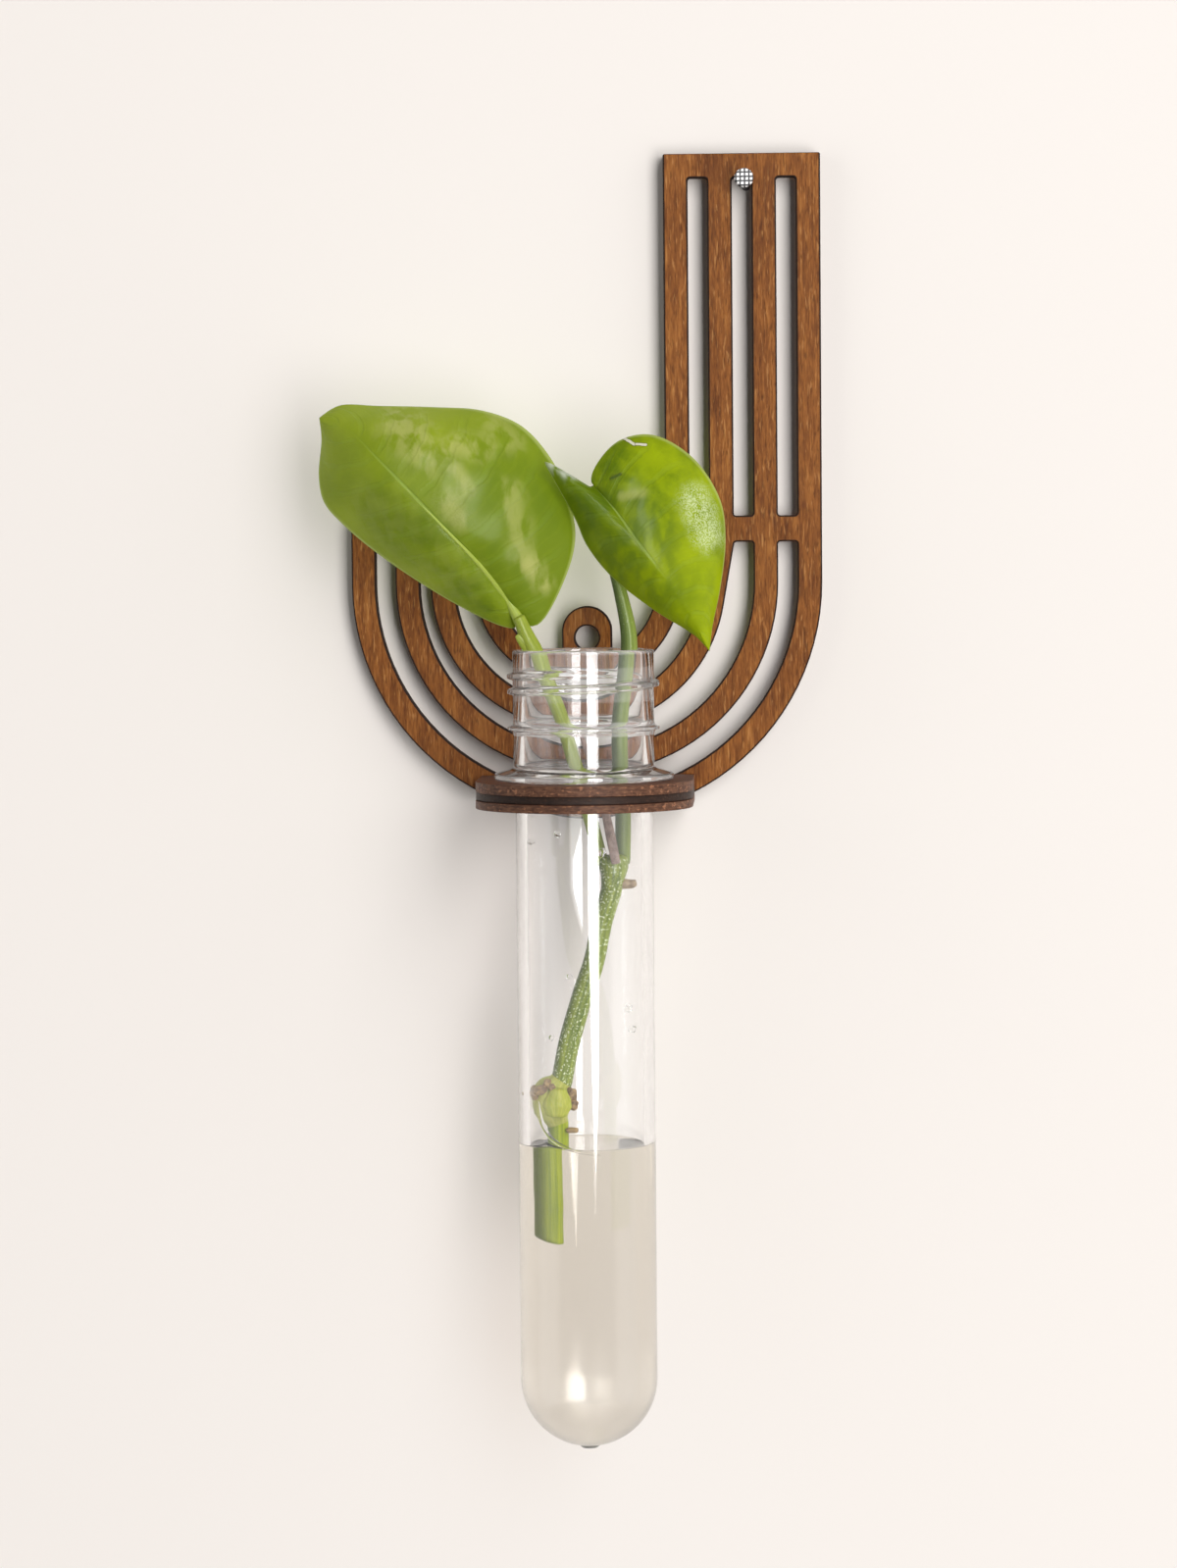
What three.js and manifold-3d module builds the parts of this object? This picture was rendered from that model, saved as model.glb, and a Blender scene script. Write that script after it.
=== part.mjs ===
// Wall-hung propagation station: a pierced plywood J with a small shelf,
// a clear tube hanging in the shelf by its flange, and a rooted leaf cutting in water.
//
// Units are millimetres. X runs to the right, Z up, and the front faces -Y.
// The origin is the top end of the middle slot on the wall plane, where the nail carries the plate.
import * as THREE from 'three';
import * as BufferGeometryUtils from 'three/addons/utils/BufferGeometryUtils.js';
import Module from 'manifold-3d';

// Back plate
const plateThickness = 3;
const barWidth = 4.5;
const slotWidth = 3.6;
const barCount = 4;
const topBarHeight = 4.4;
const upperSlotLength = 61.8;
const bridgeHeight = 4.8;
const bowlRadius = 43.4;
const bowlDrop = 74;
const innerBowlShiftX = -1.6;
const innerBowlShiftZ = 0.2;
const slotCornerRadius = 0.5;
const eyeWidth = 9.2;
const eyeArchHeight = 5.6;
const eyeHoleHeight = 4.4;
const eyeHoleDiameter = 4.4;

// Shelf
const shelfWidth = 39.3;
const upperLayerThickness = 1.9;
const middleLayerThickness = 1.5;
const lowerLayerThickness = 1.5;
const middleLayerSetback = 1.2;
const tongueWidth = 17.7;
const tongueInset = 0.1;
const tongueClearance = 0.15;

// Tube
const tubeStandOff = 17;
const tubeHoleClearance = 0.35;
const bodyDiameter = 24.9;
const bodyWall = 2;
const bodyLength = 121.7;
const neckDiameter = 25.5;
const neckWall = 1.85;
const neckHeight = 23.1;
const flangeDiameter = 32.4;
const flangeEdge = 1.2;
const flangeCone = 0.7;
const beadDiameter = 27.5;
const beadHeight = 2.4;
const beadDrop = 13.8;
const gateDiameter = 3.8;
const gateHeight = 0.5;
const seatGap = 0.15;

// Water
const waterBelowNode = 3.9;
const waterClearance = 0.15;

// Nail
const nailLength = 25;
const nailDiameter = 1.6;
const nailHeadDiameter = 3.5;
const nailHeadThickness = 0.9;
const nailPointLength = 3;
const nailHeadStandOff = 3.4;
const nailSlope = 8;
const nailYaw = 2.5;
const nailSideStep = 0.5;
const nailSeatGap = 0.12;

// Cutting
const jointGap = 0.3;
const upperNodeDrop = 37.6;
const upperNodeDiameter = 5.4;
const upperNodeHeight = 5.4;
const stemDiameter = 3.9;
const mainStemLength = 34.6;
const lowerNodeDiameter = 7.6;
const lowerNodeHeight = 7;
const cutStemLength = 21;
const petioleLargeDiameter = 2.6;
const petioleLargeRise = 6.2;
const petioleSmallDiameter = 3;
const petioleSmallRise = 29.2;
const rootDiameter = 1.7;
const sheathDrop = 15;
const sheathLength = 23;
const sheathWidth = 1.6;
const sheathThickness = 0.5;
const leafLargeLength = 50;
const leafLargeBulge = 1;
const leafSmallLength = 36.7;
const leafSmallBulge = 0.8;
const leafThickness = 0.7;

// Smoothness
const arcSteps = 48;
const cornerSteps = 3;
const tubeSegments = 48;
const stemSides = 12;

// Derived places
const pitch = barWidth + slotWidth;
const columnWidth = barCount * barWidth + (barCount - 1) * slotWidth;
const columnRight = columnWidth / 2;
const plateFront = -plateThickness;
const bowl = { x: columnRight - bowlRadius, z: -bowlDrop };
const innerBowl = { x: bowl.x + innerBowlShiftX, z: bowl.z + innerBowlShiftZ };
const bridgeTop = -upperSlotLength;
const bridgeBottom = bridgeTop - bridgeHeight;
const socketFloor = bowl.z - (bowlRadius - barWidth);
const shelfMiddleBottom = socketFloor + tongueClearance;
const shelfMiddleTop = shelfMiddleBottom + middleLayerThickness;
const shelfTop = shelfMiddleTop + upperLayerThickness;
const tube = { x: bowl.x, y: plateFront - tubeStandOff };
const flangeBottom = shelfTop + seatGap;
const rim = flangeBottom + neckHeight;
const tubeBottom = flangeBottom - bodyLength;
const neckBore = neckDiameter / 2 - neckWall;
const bodyBore = bodyDiameter / 2 - bodyWall;
const passBore = Math.min(neckBore, bodyBore);

// Drops of the cutting's parts below the rim
const mainStemTop = upperNodeDrop + upperNodeHeight + jointGap;
const mainStemBottom = mainStemTop + mainStemLength;
const lowerNodeTop = mainStemBottom + jointGap;
const lowerNodeBottom = lowerNodeTop + lowerNodeHeight;
const cutStemTop = lowerNodeBottom + jointGap;
const cutStemBottom = cutStemTop + cutStemLength;
const petioleFoot = upperNodeDrop - jointGap;
const waterTop = rim - lowerNodeBottom - waterBelowNode;

const wasm = await Module();
wasm.setup();

function solidOf(geometry) {
  const bare = geometry.clone();
  bare.deleteAttribute('normal');
  bare.deleteAttribute('uv');
  const merged = BufferGeometryUtils.mergeVertices(bare, 1e-3);
  const corners = merged.index.array;
  const triangles = [];
  for (let i = 0; i < corners.length; i += 3) {
    const [a, b, c] = corners.slice(i, i + 3);
    if (a !== b && b !== c && c !== a) triangles.push(a, b, c);
  }
  return new wasm.Manifold(new wasm.Mesh({
    numProp: 3,
    vertProperties: new Float32Array(merged.attributes.position.array),
    triVerts: new Uint32Array(triangles),
  }));
}

function geometryOf(solid) {
  const mesh = solid.getMesh();
  const geometry = new THREE.BufferGeometry();
  geometry.setAttribute('position', new THREE.BufferAttribute(mesh.vertProperties, 3));
  geometry.setIndex(new THREE.BufferAttribute(mesh.triVerts, 1));
  geometry.computeVertexNormals();
  return geometry;
}

function cut(geometry, ...tools) {
  let solid = solidOf(geometry);
  for (const tool of tools) solid = solid.subtract(solidOf(tool));
  return geometryOf(solid);
}

// A closed geometry from vertices and triangles, turned so that its faces point out.
function closedGeometry(vertices, triangles) {
  let volume = 0;
  for (const [a, b, c] of triangles) volume += vertices[a].dot(vertices[b].clone().cross(vertices[c]));
  const geometry = new THREE.BufferGeometry().setFromPoints(vertices);
  geometry.setIndex(triangles.flatMap(([a, b, c]) => (volume > 0 ? [a, b, c] : [a, c, b])));
  geometry.computeVertexNormals();
  return geometry;
}

const materials = {
  wood: new THREE.MeshStandardMaterial({ color: 0x8c5532, roughness: 0.65 }),
  shelfWood: new THREE.MeshStandardMaterial({ color: 0x55372a, roughness: 0.6 }),
  steel: new THREE.MeshStandardMaterial({ color: 0xc4c6c8, roughness: 0.3, metalness: 1 }),
  clear: new THREE.MeshStandardMaterial({ color: 0xeef2f2, roughness: 0.05, transparent: true, opacity: 0.3 }),
  water: new THREE.MeshStandardMaterial({ color: 0xd6cdbe, roughness: 0.05, transparent: true, opacity: 0.5 }),
  stem: new THREE.MeshStandardMaterial({ color: 0x6f8f2e, roughness: 0.45 }),
  node: new THREE.MeshStandardMaterial({ color: 0x9fb04a, roughness: 0.5 }),
  root: new THREE.MeshStandardMaterial({ color: 0x8d7250, roughness: 0.8 }),
  sheath: new THREE.MeshStandardMaterial({ color: 0x8a7468, roughness: 0.8 }),
  leaf: new THREE.MeshStandardMaterial({ color: 0x7da02c, roughness: 0.35 }),
};

const station = new THREE.Group();

function add(name, geometry, material) {
  const mesh = new THREE.Mesh(geometry, material);
  mesh.name = name;
  station.add(mesh);
  return mesh;
}

// The plate is drawn in X and Z, then stood up with its back on the wall plane.
function standUp(outline, holes, thickness) {
  const shape = new THREE.Shape(outline);
  shape.holes = holes.map((hole) => new THREE.Path(hole));
  const geometry = new THREE.ExtrudeGeometry(shape, { depth: thickness, bevelEnabled: false });
  return geometry.rotateX(Math.PI / 2);
}

// Adds the points of an arc about (x, z) to an outline.
function arc(outline, x, z, radius, from, to, steps = arcSteps) {
  for (let step = 0; step <= steps; step += 1) {
    const angle = THREE.MathUtils.lerp(from, to, step / steps);
    outline.push(new THREE.Vector2(x + radius * Math.cos(angle), z + radius * Math.sin(angle)));
  }
}

const barRight = (bar) => columnRight - bar * pitch;
const barLeft = (bar) => barRight(bar) - barWidth;
const bowlOf = (bar) => (bar < barCount / 2 ? bowl : innerBowl);
const outerRadius = (bar) => bowlRadius - bar * pitch;
const innerRadius = (bar) => outerRadius(bar) - barWidth;

// Angle at which a straight leg from (x, z) runs into the bowl's arc without a kink.
function legAngle(centre, radius, x, z) {
  const dx = x - centre.x;
  const dz = z - centre.z;
  return Math.atan2(dz, dx) - Math.acos(Math.min(1, radius / Math.hypot(dx, dz)));
}

// The slot between one bar and the next, from under the bridge round the bowl to the left arm.
function bowlSlot(bar) {
  const outer = bowlOf(bar);
  const inner = bowlOf(bar + 1);
  const outerR = innerRadius(bar);
  const innerR = outerRadius(bar + 1);
  const right = barLeft(bar);
  const left = barRight(bar + 1);
  const r = slotCornerRadius;
  const top = bridgeBottom - r;
  const outline = [];
  arc(outline, left + r, top, r, Math.PI, Math.PI / 2, cornerSteps);
  arc(outline, right - r, top, r, Math.PI / 2, 0, cornerSteps);
  arc(outline, outer.x, outer.z, outerR, legAngle(outer, outerR, right, bridgeBottom), -Math.PI);
  arc(outline, outer.x - outerR + r, top, r, Math.PI, Math.PI / 2, cornerSteps);
  arc(outline, inner.x - innerR - r, top, r, Math.PI / 2, 0, cornerSteps);
  arc(outline, inner.x, inner.z, innerR, -Math.PI, legAngle(inner, innerR, left, bridgeBottom));
  return outline;
}

function columnSlot(bar) {
  const left = barRight(bar + 1);
  const right = barLeft(bar);
  const r = slotCornerRadius;
  const outline = [];
  arc(outline, right - r, -r, r, Math.PI / 2, 0, cornerSteps);
  arc(outline, right - r, bridgeTop + r, r, 0, -Math.PI / 2, cornerSteps);
  arc(outline, left + r, bridgeTop + r, r, -Math.PI / 2, -Math.PI, cornerSteps);
  arc(outline, left + r, -r, r, Math.PI, Math.PI / 2, cornerSteps);
  return outline;
}

const hookRadius = innerRadius(barCount - 1);
const hookFloor = innerBowl.z - hookRadius;
const eyeArch = hookFloor + eyeArchHeight;
const eyeHole = hookFloor + eyeHoleHeight;

// The J: down the right side, round the bowl, up the left arm and back round the hook and its eye tab.
function plateOutline() {
  const hookLeg = barLeft(barCount - 1);
  const eyeLeft = bowl.x - eyeWidth / 2 - innerBowl.x;
  const eyeRight = bowl.x + eyeWidth / 2 - innerBowl.x;
  const outline = [new THREE.Vector2(hookLeg, topBarHeight), new THREE.Vector2(columnRight, topBarHeight)];
  arc(outline, bowl.x, bowl.z, bowlRadius, 0, -Math.PI);
  outline.push(new THREE.Vector2(bowl.x - bowlRadius, bridgeTop));
  outline.push(new THREE.Vector2(innerBowl.x - hookRadius, bridgeTop));
  arc(outline, innerBowl.x, innerBowl.z, hookRadius, -Math.PI, -Math.acos(eyeLeft / hookRadius));
  arc(outline, bowl.x, eyeArch, eyeWidth / 2, Math.PI, 0);
  const legEnd = legAngle(innerBowl, hookRadius, hookLeg, bridgeBottom);
  arc(outline, innerBowl.x, innerBowl.z, hookRadius, -Math.acos(eyeRight / hookRadius), legEnd);
  outline.push(new THREE.Vector2(hookLeg, bridgeBottom));
  return outline.reverse();
}

function plateHoles() {
  const holes = [];
  for (let bar = 0; bar < barCount - 1; bar += 1) holes.push(columnSlot(bar), bowlSlot(bar));
  const hole = [];
  arc(hole, bowl.x, eyeHole, eyeHoleDiameter / 2, 2 * Math.PI, 2 * Math.PI / arcSteps, arcSteps - 1);
  holes.push(hole);
  return holes;
}

// The shelf's tongues pass through a flat-bottomed socket in the outer slot.
function socketBox() {
  const width = tongueWidth + 2 * tongueClearance;
  const height = barWidth;
  const box = new THREE.BoxGeometry(width, 3 * plateThickness, height);
  return box.translate(bowl.x, -plateThickness / 2, socketFloor + height / 2);
}

add('back_plate', cut(standUp(plateOutline(), plateHoles(), plateThickness), socketBox()), materials.wood);

// One shelf layer: straight sides from the plate, a half-round front and the tube's hole.
function shelfLayer(bottom, thickness, setback, hasTongue) {
  const half = shelfWidth / 2;
  const holeRadius = bodyDiameter / 2 + tubeHoleClearance;
  const shape = new THREE.Shape();
  shape.moveTo(half, plateFront);
  if (hasTongue) {
    shape.lineTo(tongueWidth / 2, plateFront);
    shape.lineTo(tongueWidth / 2, -tongueInset);
    shape.lineTo(-tongueWidth / 2, -tongueInset);
    shape.lineTo(-tongueWidth / 2, plateFront);
  }
  shape.lineTo(-half, plateFront);
  shape.absarc(0, tube.y + setback, half, Math.PI, 2 * Math.PI, false);
  shape.closePath();
  const hole = new THREE.Path();
  hole.absarc(0, tube.y, holeRadius, 0, 2 * Math.PI, true);
  shape.holes.push(hole);
  const geometry = new THREE.ExtrudeGeometry(shape, {
    depth: thickness,
    bevelEnabled: false,
    curveSegments: arcSteps / 2,
  });
  return geometry.translate(bowl.x, 0, bottom);
}

const shelfLowerBottom = shelfMiddleBottom - lowerLayerThickness;
add('shelf_upper', shelfLayer(shelfMiddleTop, upperLayerThickness, 0, true), materials.shelfWood);
add('shelf_middle', shelfLayer(shelfMiddleBottom, middleLayerThickness, middleLayerSetback, true), materials.shelfWood);
add('shelf_lower', shelfLayer(shelfLowerBottom, lowerLayerThickness, 0, false), materials.shelfWood);

// Turns a profile of radius and height about the tube's axis.
function turned(profile) {
  const points = profile.map(([radius, height]) => new THREE.Vector2(radius, height));
  return new THREE.LatheGeometry(points, tubeSegments).rotateX(Math.PI / 2).translate(tube.x, tube.y, 0);
}

// Points of a round bottom, from the edge of the flat at the axis up to the full radius.
function roundBottom(radius, centreZ, startRadius, steps) {
  const start = Math.asin(startRadius / radius);
  const points = [];
  for (let step = 0; step <= steps; step += 1) {
    const angle = start + (Math.PI / 2 - start) * (step / steps);
    points.push([radius * Math.sin(angle), centreZ - radius * Math.cos(angle)]);
  }
  return points;
}

function tubeProfile() {
  const bodyR = bodyDiameter / 2;
  const neckR = neckDiameter / 2;
  const flangeR = flangeDiameter / 2;
  const beadR = beadDiameter / 2;
  const beadZ = rim - beadDrop;
  const gateR = gateDiameter / 2;
  const domeCentre = tubeBottom + gateHeight + bodyR;
  const boreCentre = tubeBottom + bodyWall + bodyBore;
  const shoulder = flangeBottom - bodyWall;
  const bottom = roundBottom(bodyR, domeCentre, gateR, 9);
  const bore = roundBottom(bodyBore, boreCentre, 0, 9).reverse();
  return [
    [0, tubeBottom],
    [gateR, tubeBottom],
    ...bottom,
    [bodyR, flangeBottom],
    [flangeR - 0.2, flangeBottom],
    [flangeR, flangeBottom + 0.2],
    [flangeR, flangeBottom + flangeEdge],
    [neckR, flangeBottom + flangeEdge + flangeCone],
    [neckR, beadZ - beadHeight / 2],
    [beadR, beadZ - 0.2],
    [beadR, beadZ + 0.2],
    [neckR, beadZ + beadHeight / 2],
    [neckR, rim - 0.4],
    [neckR - 0.4, rim],
    [neckBore + 0.4, rim],
    [neckBore, rim - 0.4],
    [neckBore, flangeBottom],
    [bodyBore, shoulder],
    ...bore,
  ];
}

add('test_tube', turned(tubeProfile()), materials.clear);

// The axis that a stem's end runs along most; the end is cut square to it.
function endAxis(along) {
  const upright = Math.abs(along.z) > Math.abs(along.x);
  return upright ? new THREE.Vector3(0, 0, Math.sign(along.z)) : new THREE.Vector3(Math.sign(along.x), 0, 0);
}

// A lofted stem: round or oval sections of its own radii, square to a smooth centre line.
function loft(centres, widths, depths = widths) {
  const curve = new THREE.CatmullRomCurve3(centres, false, 'centripetal');
  const vertices = [];
  const triangles = [];
  const last = centres.length - 1;
  const stations = last * 2;
  for (let station = 0; station <= stations; station += 1) {
    const t = station / stations;
    const at = t * last;
    const from = Math.min(Math.floor(at), last - 1);
    const width = THREE.MathUtils.lerp(widths[from], widths[from + 1], at - from);
    const depth = THREE.MathUtils.lerp(depths[from], depths[from + 1], at - from);
    const centre = curve.getPoint(t);
    const tangent = curve.getTangent(t);
    const along = station % stations === 0 ? endAxis(tangent) : tangent;
    const across = new THREE.Vector3(0, 1, 0).cross(along).normalize();
    const out = along.clone().cross(across);
    for (let side = 0; side < stemSides; side += 1) {
      const angle = (2 * Math.PI * side) / stemSides;
      vertices.push(centre.clone()
        .addScaledVector(across, width * Math.cos(angle))
        .addScaledVector(out, depth * Math.sin(angle)));
    }
  }
  for (let station = 0; station < stations; station += 1) {
    for (let side = 0; side < stemSides; side += 1) {
      const a = station * stemSides + side;
      const b = station * stemSides + ((side + 1) % stemSides);
      triangles.push([a, b, b + stemSides], [a, b + stemSides, a + stemSides]);
    }
  }
  const end = stations * stemSides;
  for (let side = 1; side < stemSides - 1; side += 1) {
    triangles.push([0, side + 1, side], [end, end + side, end + side + 1]);
  }
  return closedGeometry(vertices, triangles);
}

// A stem's way in the tube between two drops below the rim. Each station holds its part of the way,
// then its shares of the free bore to the right and to the wall.
function route(radius, from, to, stations) {
  const reach = passBore - jointGap - radius;
  return stations.map(([part, right, back]) => new THREE.Vector3(
    tube.x + right * reach,
    tube.y + back * reach,
    rim - THREE.MathUtils.lerp(from, to, part),
  ));
}

const stemR = stemDiameter / 2;
const lowerNodeR = lowerNodeDiameter / 2;
const upperNodeR = upperNodeDiameter / 2;
const largeR = petioleLargeDiameter / 2;
const smallR = petioleSmallDiameter / 2;
const times = (radius, shares) => shares.map((share) => share * radius);

const cutStemRoute = route(stemR, cutStemBottom, cutStemTop, [[0, -0.64, 0.1], [0.5, -0.65, 0.1], [1, -0.66, 0.1]]);
add('cut_stem', loft(cutStemRoute, times(stemR, [1, 1, 1])), materials.stem);

const lowerNodeRoute = route(lowerNodeR, lowerNodeBottom, lowerNodeTop, [
  [0, -0.88, 0.1], [0.3, -0.98, 0.1], [0.7, -1, 0.1], [1, -0.78, 0.1],
]);
add('lower_node', loft(lowerNodeRoute, times(lowerNodeR, [0.53, 0.97, 1, 0.56])), materials.node);

const mainStemRoute = route(stemR, mainStemBottom, mainStemTop, [
  [0, -0.56, 0.1], [0.21, -0.38, 0.1], [0.42, -0.12, 0.1], [0.63, 0.18, 0.1], [0.84, 0.37, 0.1], [1, 0.58, 0.1],
]);
add('main_stem', loft(mainStemRoute, times(stemR, [1, 1, 1, 1, 1, 1])), materials.stem);

const upperNodeRoute = route(upperNodeR, upperNodeDrop + upperNodeHeight, upperNodeDrop, [
  [0, 0.64, 0.1], [0.35, 0.67, 0.1], [0.7, 0.69, 0.1], [1, 0.67, 0.1],
]);
add('upper_node', loft(
  upperNodeRoute,
  times(upperNodeR, [0.72, 0.8, 1, 1]),
  times(upperNodeR, [0.72, 0.8, 0.8, 0.75]),
), materials.node);

// The root starts at the upper node's side and ends short of the tube's wall.
const rootR = rootDiameter / 2;
const rootStart = upperNodeRoute[0].clone().lerp(upperNodeRoute[1], 0.5);
rootStart.x += 0.8 * upperNodeR + jointGap;
const rootTip = route(rootR, upperNodeDrop, upperNodeDrop, [[0, 1, 0.1]])[0];
rootTip.z = rootStart.z + 0.1;
add('aerial_root', loft(
  [rootStart, rootStart.clone().lerp(rootTip, 0.7), rootTip],
  times(rootR, [1, 1, 0.6]),
), materials.root);

const largeRoute = route(largeR, petioleFoot, -petioleLargeRise, [
  [0, 0.31, 0.12], [0.14, 0.14, 0.14], [0.3, -0.08, 0.14], [0.42, -0.25, 0.12], [0.54, -0.41, 0.1],
  [0.7, -0.68, 0.06], [0.86, -0.94, 0], [0.92, -1.11, -0.04], [1, -1.28, -0.11],
]);
add('petiole_large', loft(
  largeRoute,
  times(largeR, [1, 1, 1, 1, 1, 1, 1, 0.9, 0.7]),
), materials.stem);

const smallRoute = route(smallR, petioleFoot, -petioleSmallRise, [
  [0, 0.8, 0.3], [0.11, 0.82, 0.3], [0.25, 0.76, 0.3], [0.36, 0.76, 0.3], [0.49, 0.89, 0.33],
  [0.56, 0.95, 0.35], [0.62, 0.93, 0.42], [0.71, 0.79, 0.5], [0.86, 0.5, 0.35], [1, 0.27, 0.09],
]);
add('petiole_small', loft(
  smallRoute,
  times(smallR, [1, 1, 1, 1, 1, 1, 0.95, 0.8, 0.6, 0.42]),
), materials.stem);

const sheathRoute = route(sheathWidth / 2, sheathDrop, sheathDrop + sheathLength, [
  [0, -0.05, -0.1], [0.22, 0.12, -0.11], [0.43, 0.26, -0.12], [0.62, 0.41, -0.14], [0.79, 0.5, -0.18], [1, 0.6, -0.25],
]);
add('dried_sheath', loft(
  sheathRoute,
  times(sheathWidth / 2, [0.5, 0.6, 0.7, 0.9, 1, 1]),
  times(sheathThickness / 2, [1, 1, 1, 1, 1, 1]),
), materials.sheath);

// Water fills the bore below its surface and leaves a well for the cut stem.
function waterGeometry() {
  const radius = bodyBore - waterClearance;
  const centre = tubeBottom + bodyWall + bodyBore;
  const body = turned([...roundBottom(radius, centre, 0, 9), [radius, waterTop], [0, waterTop]]);
  const wellR = stemR + jointGap;
  const foot = cutStemRoute[0].clone();
  foot.z -= jointGap;
  const mouth = cutStemRoute[2].clone();
  mouth.z = waterTop + jointGap;
  return cut(body, loft([foot, foot.clone().lerp(mouth, 0.5), mouth], [wellR, wellR, wellR]));
}

add('water', waterGeometry(), materials.water);

// A leaf blade: two halves ruled from the midrib to the margins, with a soft bulge between them.
// The midrib and the margins run from the base to the tip, in shares of the blade's length.
function leaf(base, length, midrib, margins, bulge) {
  const rows = 20;
  const columns = 4;
  const lineOf = (shares) => new THREE.CatmullRomCurve3(
    shares.map(([right, back, up]) => new THREE.Vector3(right, back, up).multiplyScalar(length).add(base)),
    false,
    'centripetal',
  );
  const rib = lineOf(midrib);
  const edges = margins.map(lineOf);
  const vertices = [];
  const front = [];
  const back = [];
  const push = (point, offset) => {
    vertices.push(new THREE.Vector3(point.x, point.y + offset, point.z));
    return vertices.length - 1;
  };
  for (let row = 0; row <= rows; row += 1) {
    const s = row / rows;
    const centre = rib.getPointAt(s);
    const line = [];
    for (let column = -columns; column <= columns; column += 1) {
      const margin = edges[column < 0 ? 0 : 1].getPointAt(s);
      const t = Math.abs(column) / columns;
      const point = centre.clone().lerp(margin, t);
      point.y -= bulge * Math.sin(Math.PI * t) * Math.sin(Math.PI * s);
      line.push(point);
    }
    const isEnd = row === 0 || row === rows;
    const single = isEnd ? [push(centre, -leafThickness / 2), push(centre, leafThickness / 2)] : null;
    front.push(line.map((point) => (isEnd ? single[0] : push(point, -leafThickness / 2))));
    back.push(line.map((point) => (isEnd ? single[1] : push(point, leafThickness / 2))));
  }
  const triangles = [];
  const quad = (a, b, c, d) => {
    if (a !== b && b !== c && a !== c) triangles.push([a, b, c]);
    if (a !== c && c !== d && a !== d) triangles.push([a, c, d]);
  };
  for (let row = 0; row < rows; row += 1) {
    for (let column = 0; column < 2 * columns; column += 1) {
      quad(front[row][column], front[row][column + 1], front[row + 1][column + 1], front[row + 1][column]);
      quad(back[row][column], back[row + 1][column], back[row + 1][column + 1], back[row][column + 1]);
    }
    quad(front[row][0], front[row + 1][0], back[row + 1][0], back[row][0]);
    const edge = 2 * columns;
    quad(front[row][edge], back[row][edge], back[row + 1][edge], front[row + 1][edge]);
  }
  return closedGeometry(vertices, triangles);
}

// The large blade hangs behind the end of its petiole, and the small one in front of it.
const bladeGap = jointGap + leafThickness / 2;
const largeBase = largeRoute[largeRoute.length - 1].clone();
largeBase.add(new THREE.Vector3(-0.7, 0.7 * largeR + bladeGap, 1.3));
add('leaf_large', leaf(
  largeBase,
  leafLargeLength,
  [
    [0, 0, 0], [-0.115, -0.082, 0.157], [-0.278, -0.142, 0.334], [-0.48, -0.112, 0.547],
    [-0.588, -0.032, 0.65], [-0.709, 0.068, 0.702],
  ],
  [
    [
      [0, 0, 0], [0, 0.006, -0.062], [-0.049, 0.008, -0.057], [-0.225, 0.016, 0.029], [-0.471, 0.044, 0.187],
      [-0.626, 0.068, 0.314], [-0.698, 0.084, 0.398], [-0.716, 0.092, 0.491], [-0.704, 0.088, 0.627],
      [-0.709, 0.068, 0.702],
    ],
    [
      [0, 0, 0], [0.028, -0.002, -0.05], [0.081, -0.004, -0.053], [0.177, 0, 0.104], [0.219, 0.016, 0.265],
      [0.186, 0.032, 0.432], [0.125, 0.044, 0.557], [0.023, 0.058, 0.667], [-0.119, 0.068, 0.723],
      [-0.29, 0.078, 0.737], [-0.496, 0.088, 0.744], [-0.632, 0.088, 0.748], [-0.68, 0.08, 0.725],
      [-0.709, 0.068, 0.702],
    ],
  ],
  leafLargeBulge,
), materials.leaf);

const smallBase = smallRoute[smallRoute.length - 1].clone();
smallBase.add(new THREE.Vector3(-0.2, -(0.42 * smallR + bladeGap), 0.7));
add('leaf_small', leaf(
  smallBase,
  leafSmallLength,
  [[0, 0, 0], [0.105, -0.068, -0.121], [0.24, -0.109, -0.308], [0.443, -0.027, -0.585], [0.563, 0.095, -0.821]],
  [
    [
      [0, 0, 0], [-0.012, 0, -0.008], [-0.111, -0.011, 0.053], [-0.236, -0.027, 0.117], [-0.206, -0.022, 0.052],
      [-0.09, -0.003, -0.166], [-0.035, 0.008, -0.294], [0.083, 0.022, -0.447], [0.289, 0.049, -0.613],
      [0.496, 0.082, -0.748], [0.563, 0.095, -0.821],
    ],
    [
      [0, 0, 0], [-0.011, 0.005, 0.022], [0.007, 0.025, 0.088], [0.119, 0.068, 0.215], [0.286, 0.117, 0.247],
      [0.485, 0.166, 0.134], [0.619, 0.196, -0.075], [0.644, 0.199, -0.272], [0.617, 0.172, -0.51],
      [0.576, 0.123, -0.709], [0.563, 0.095, -0.821],
    ],
  ],
  leafSmallBulge,
), materials.leaf);

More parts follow.
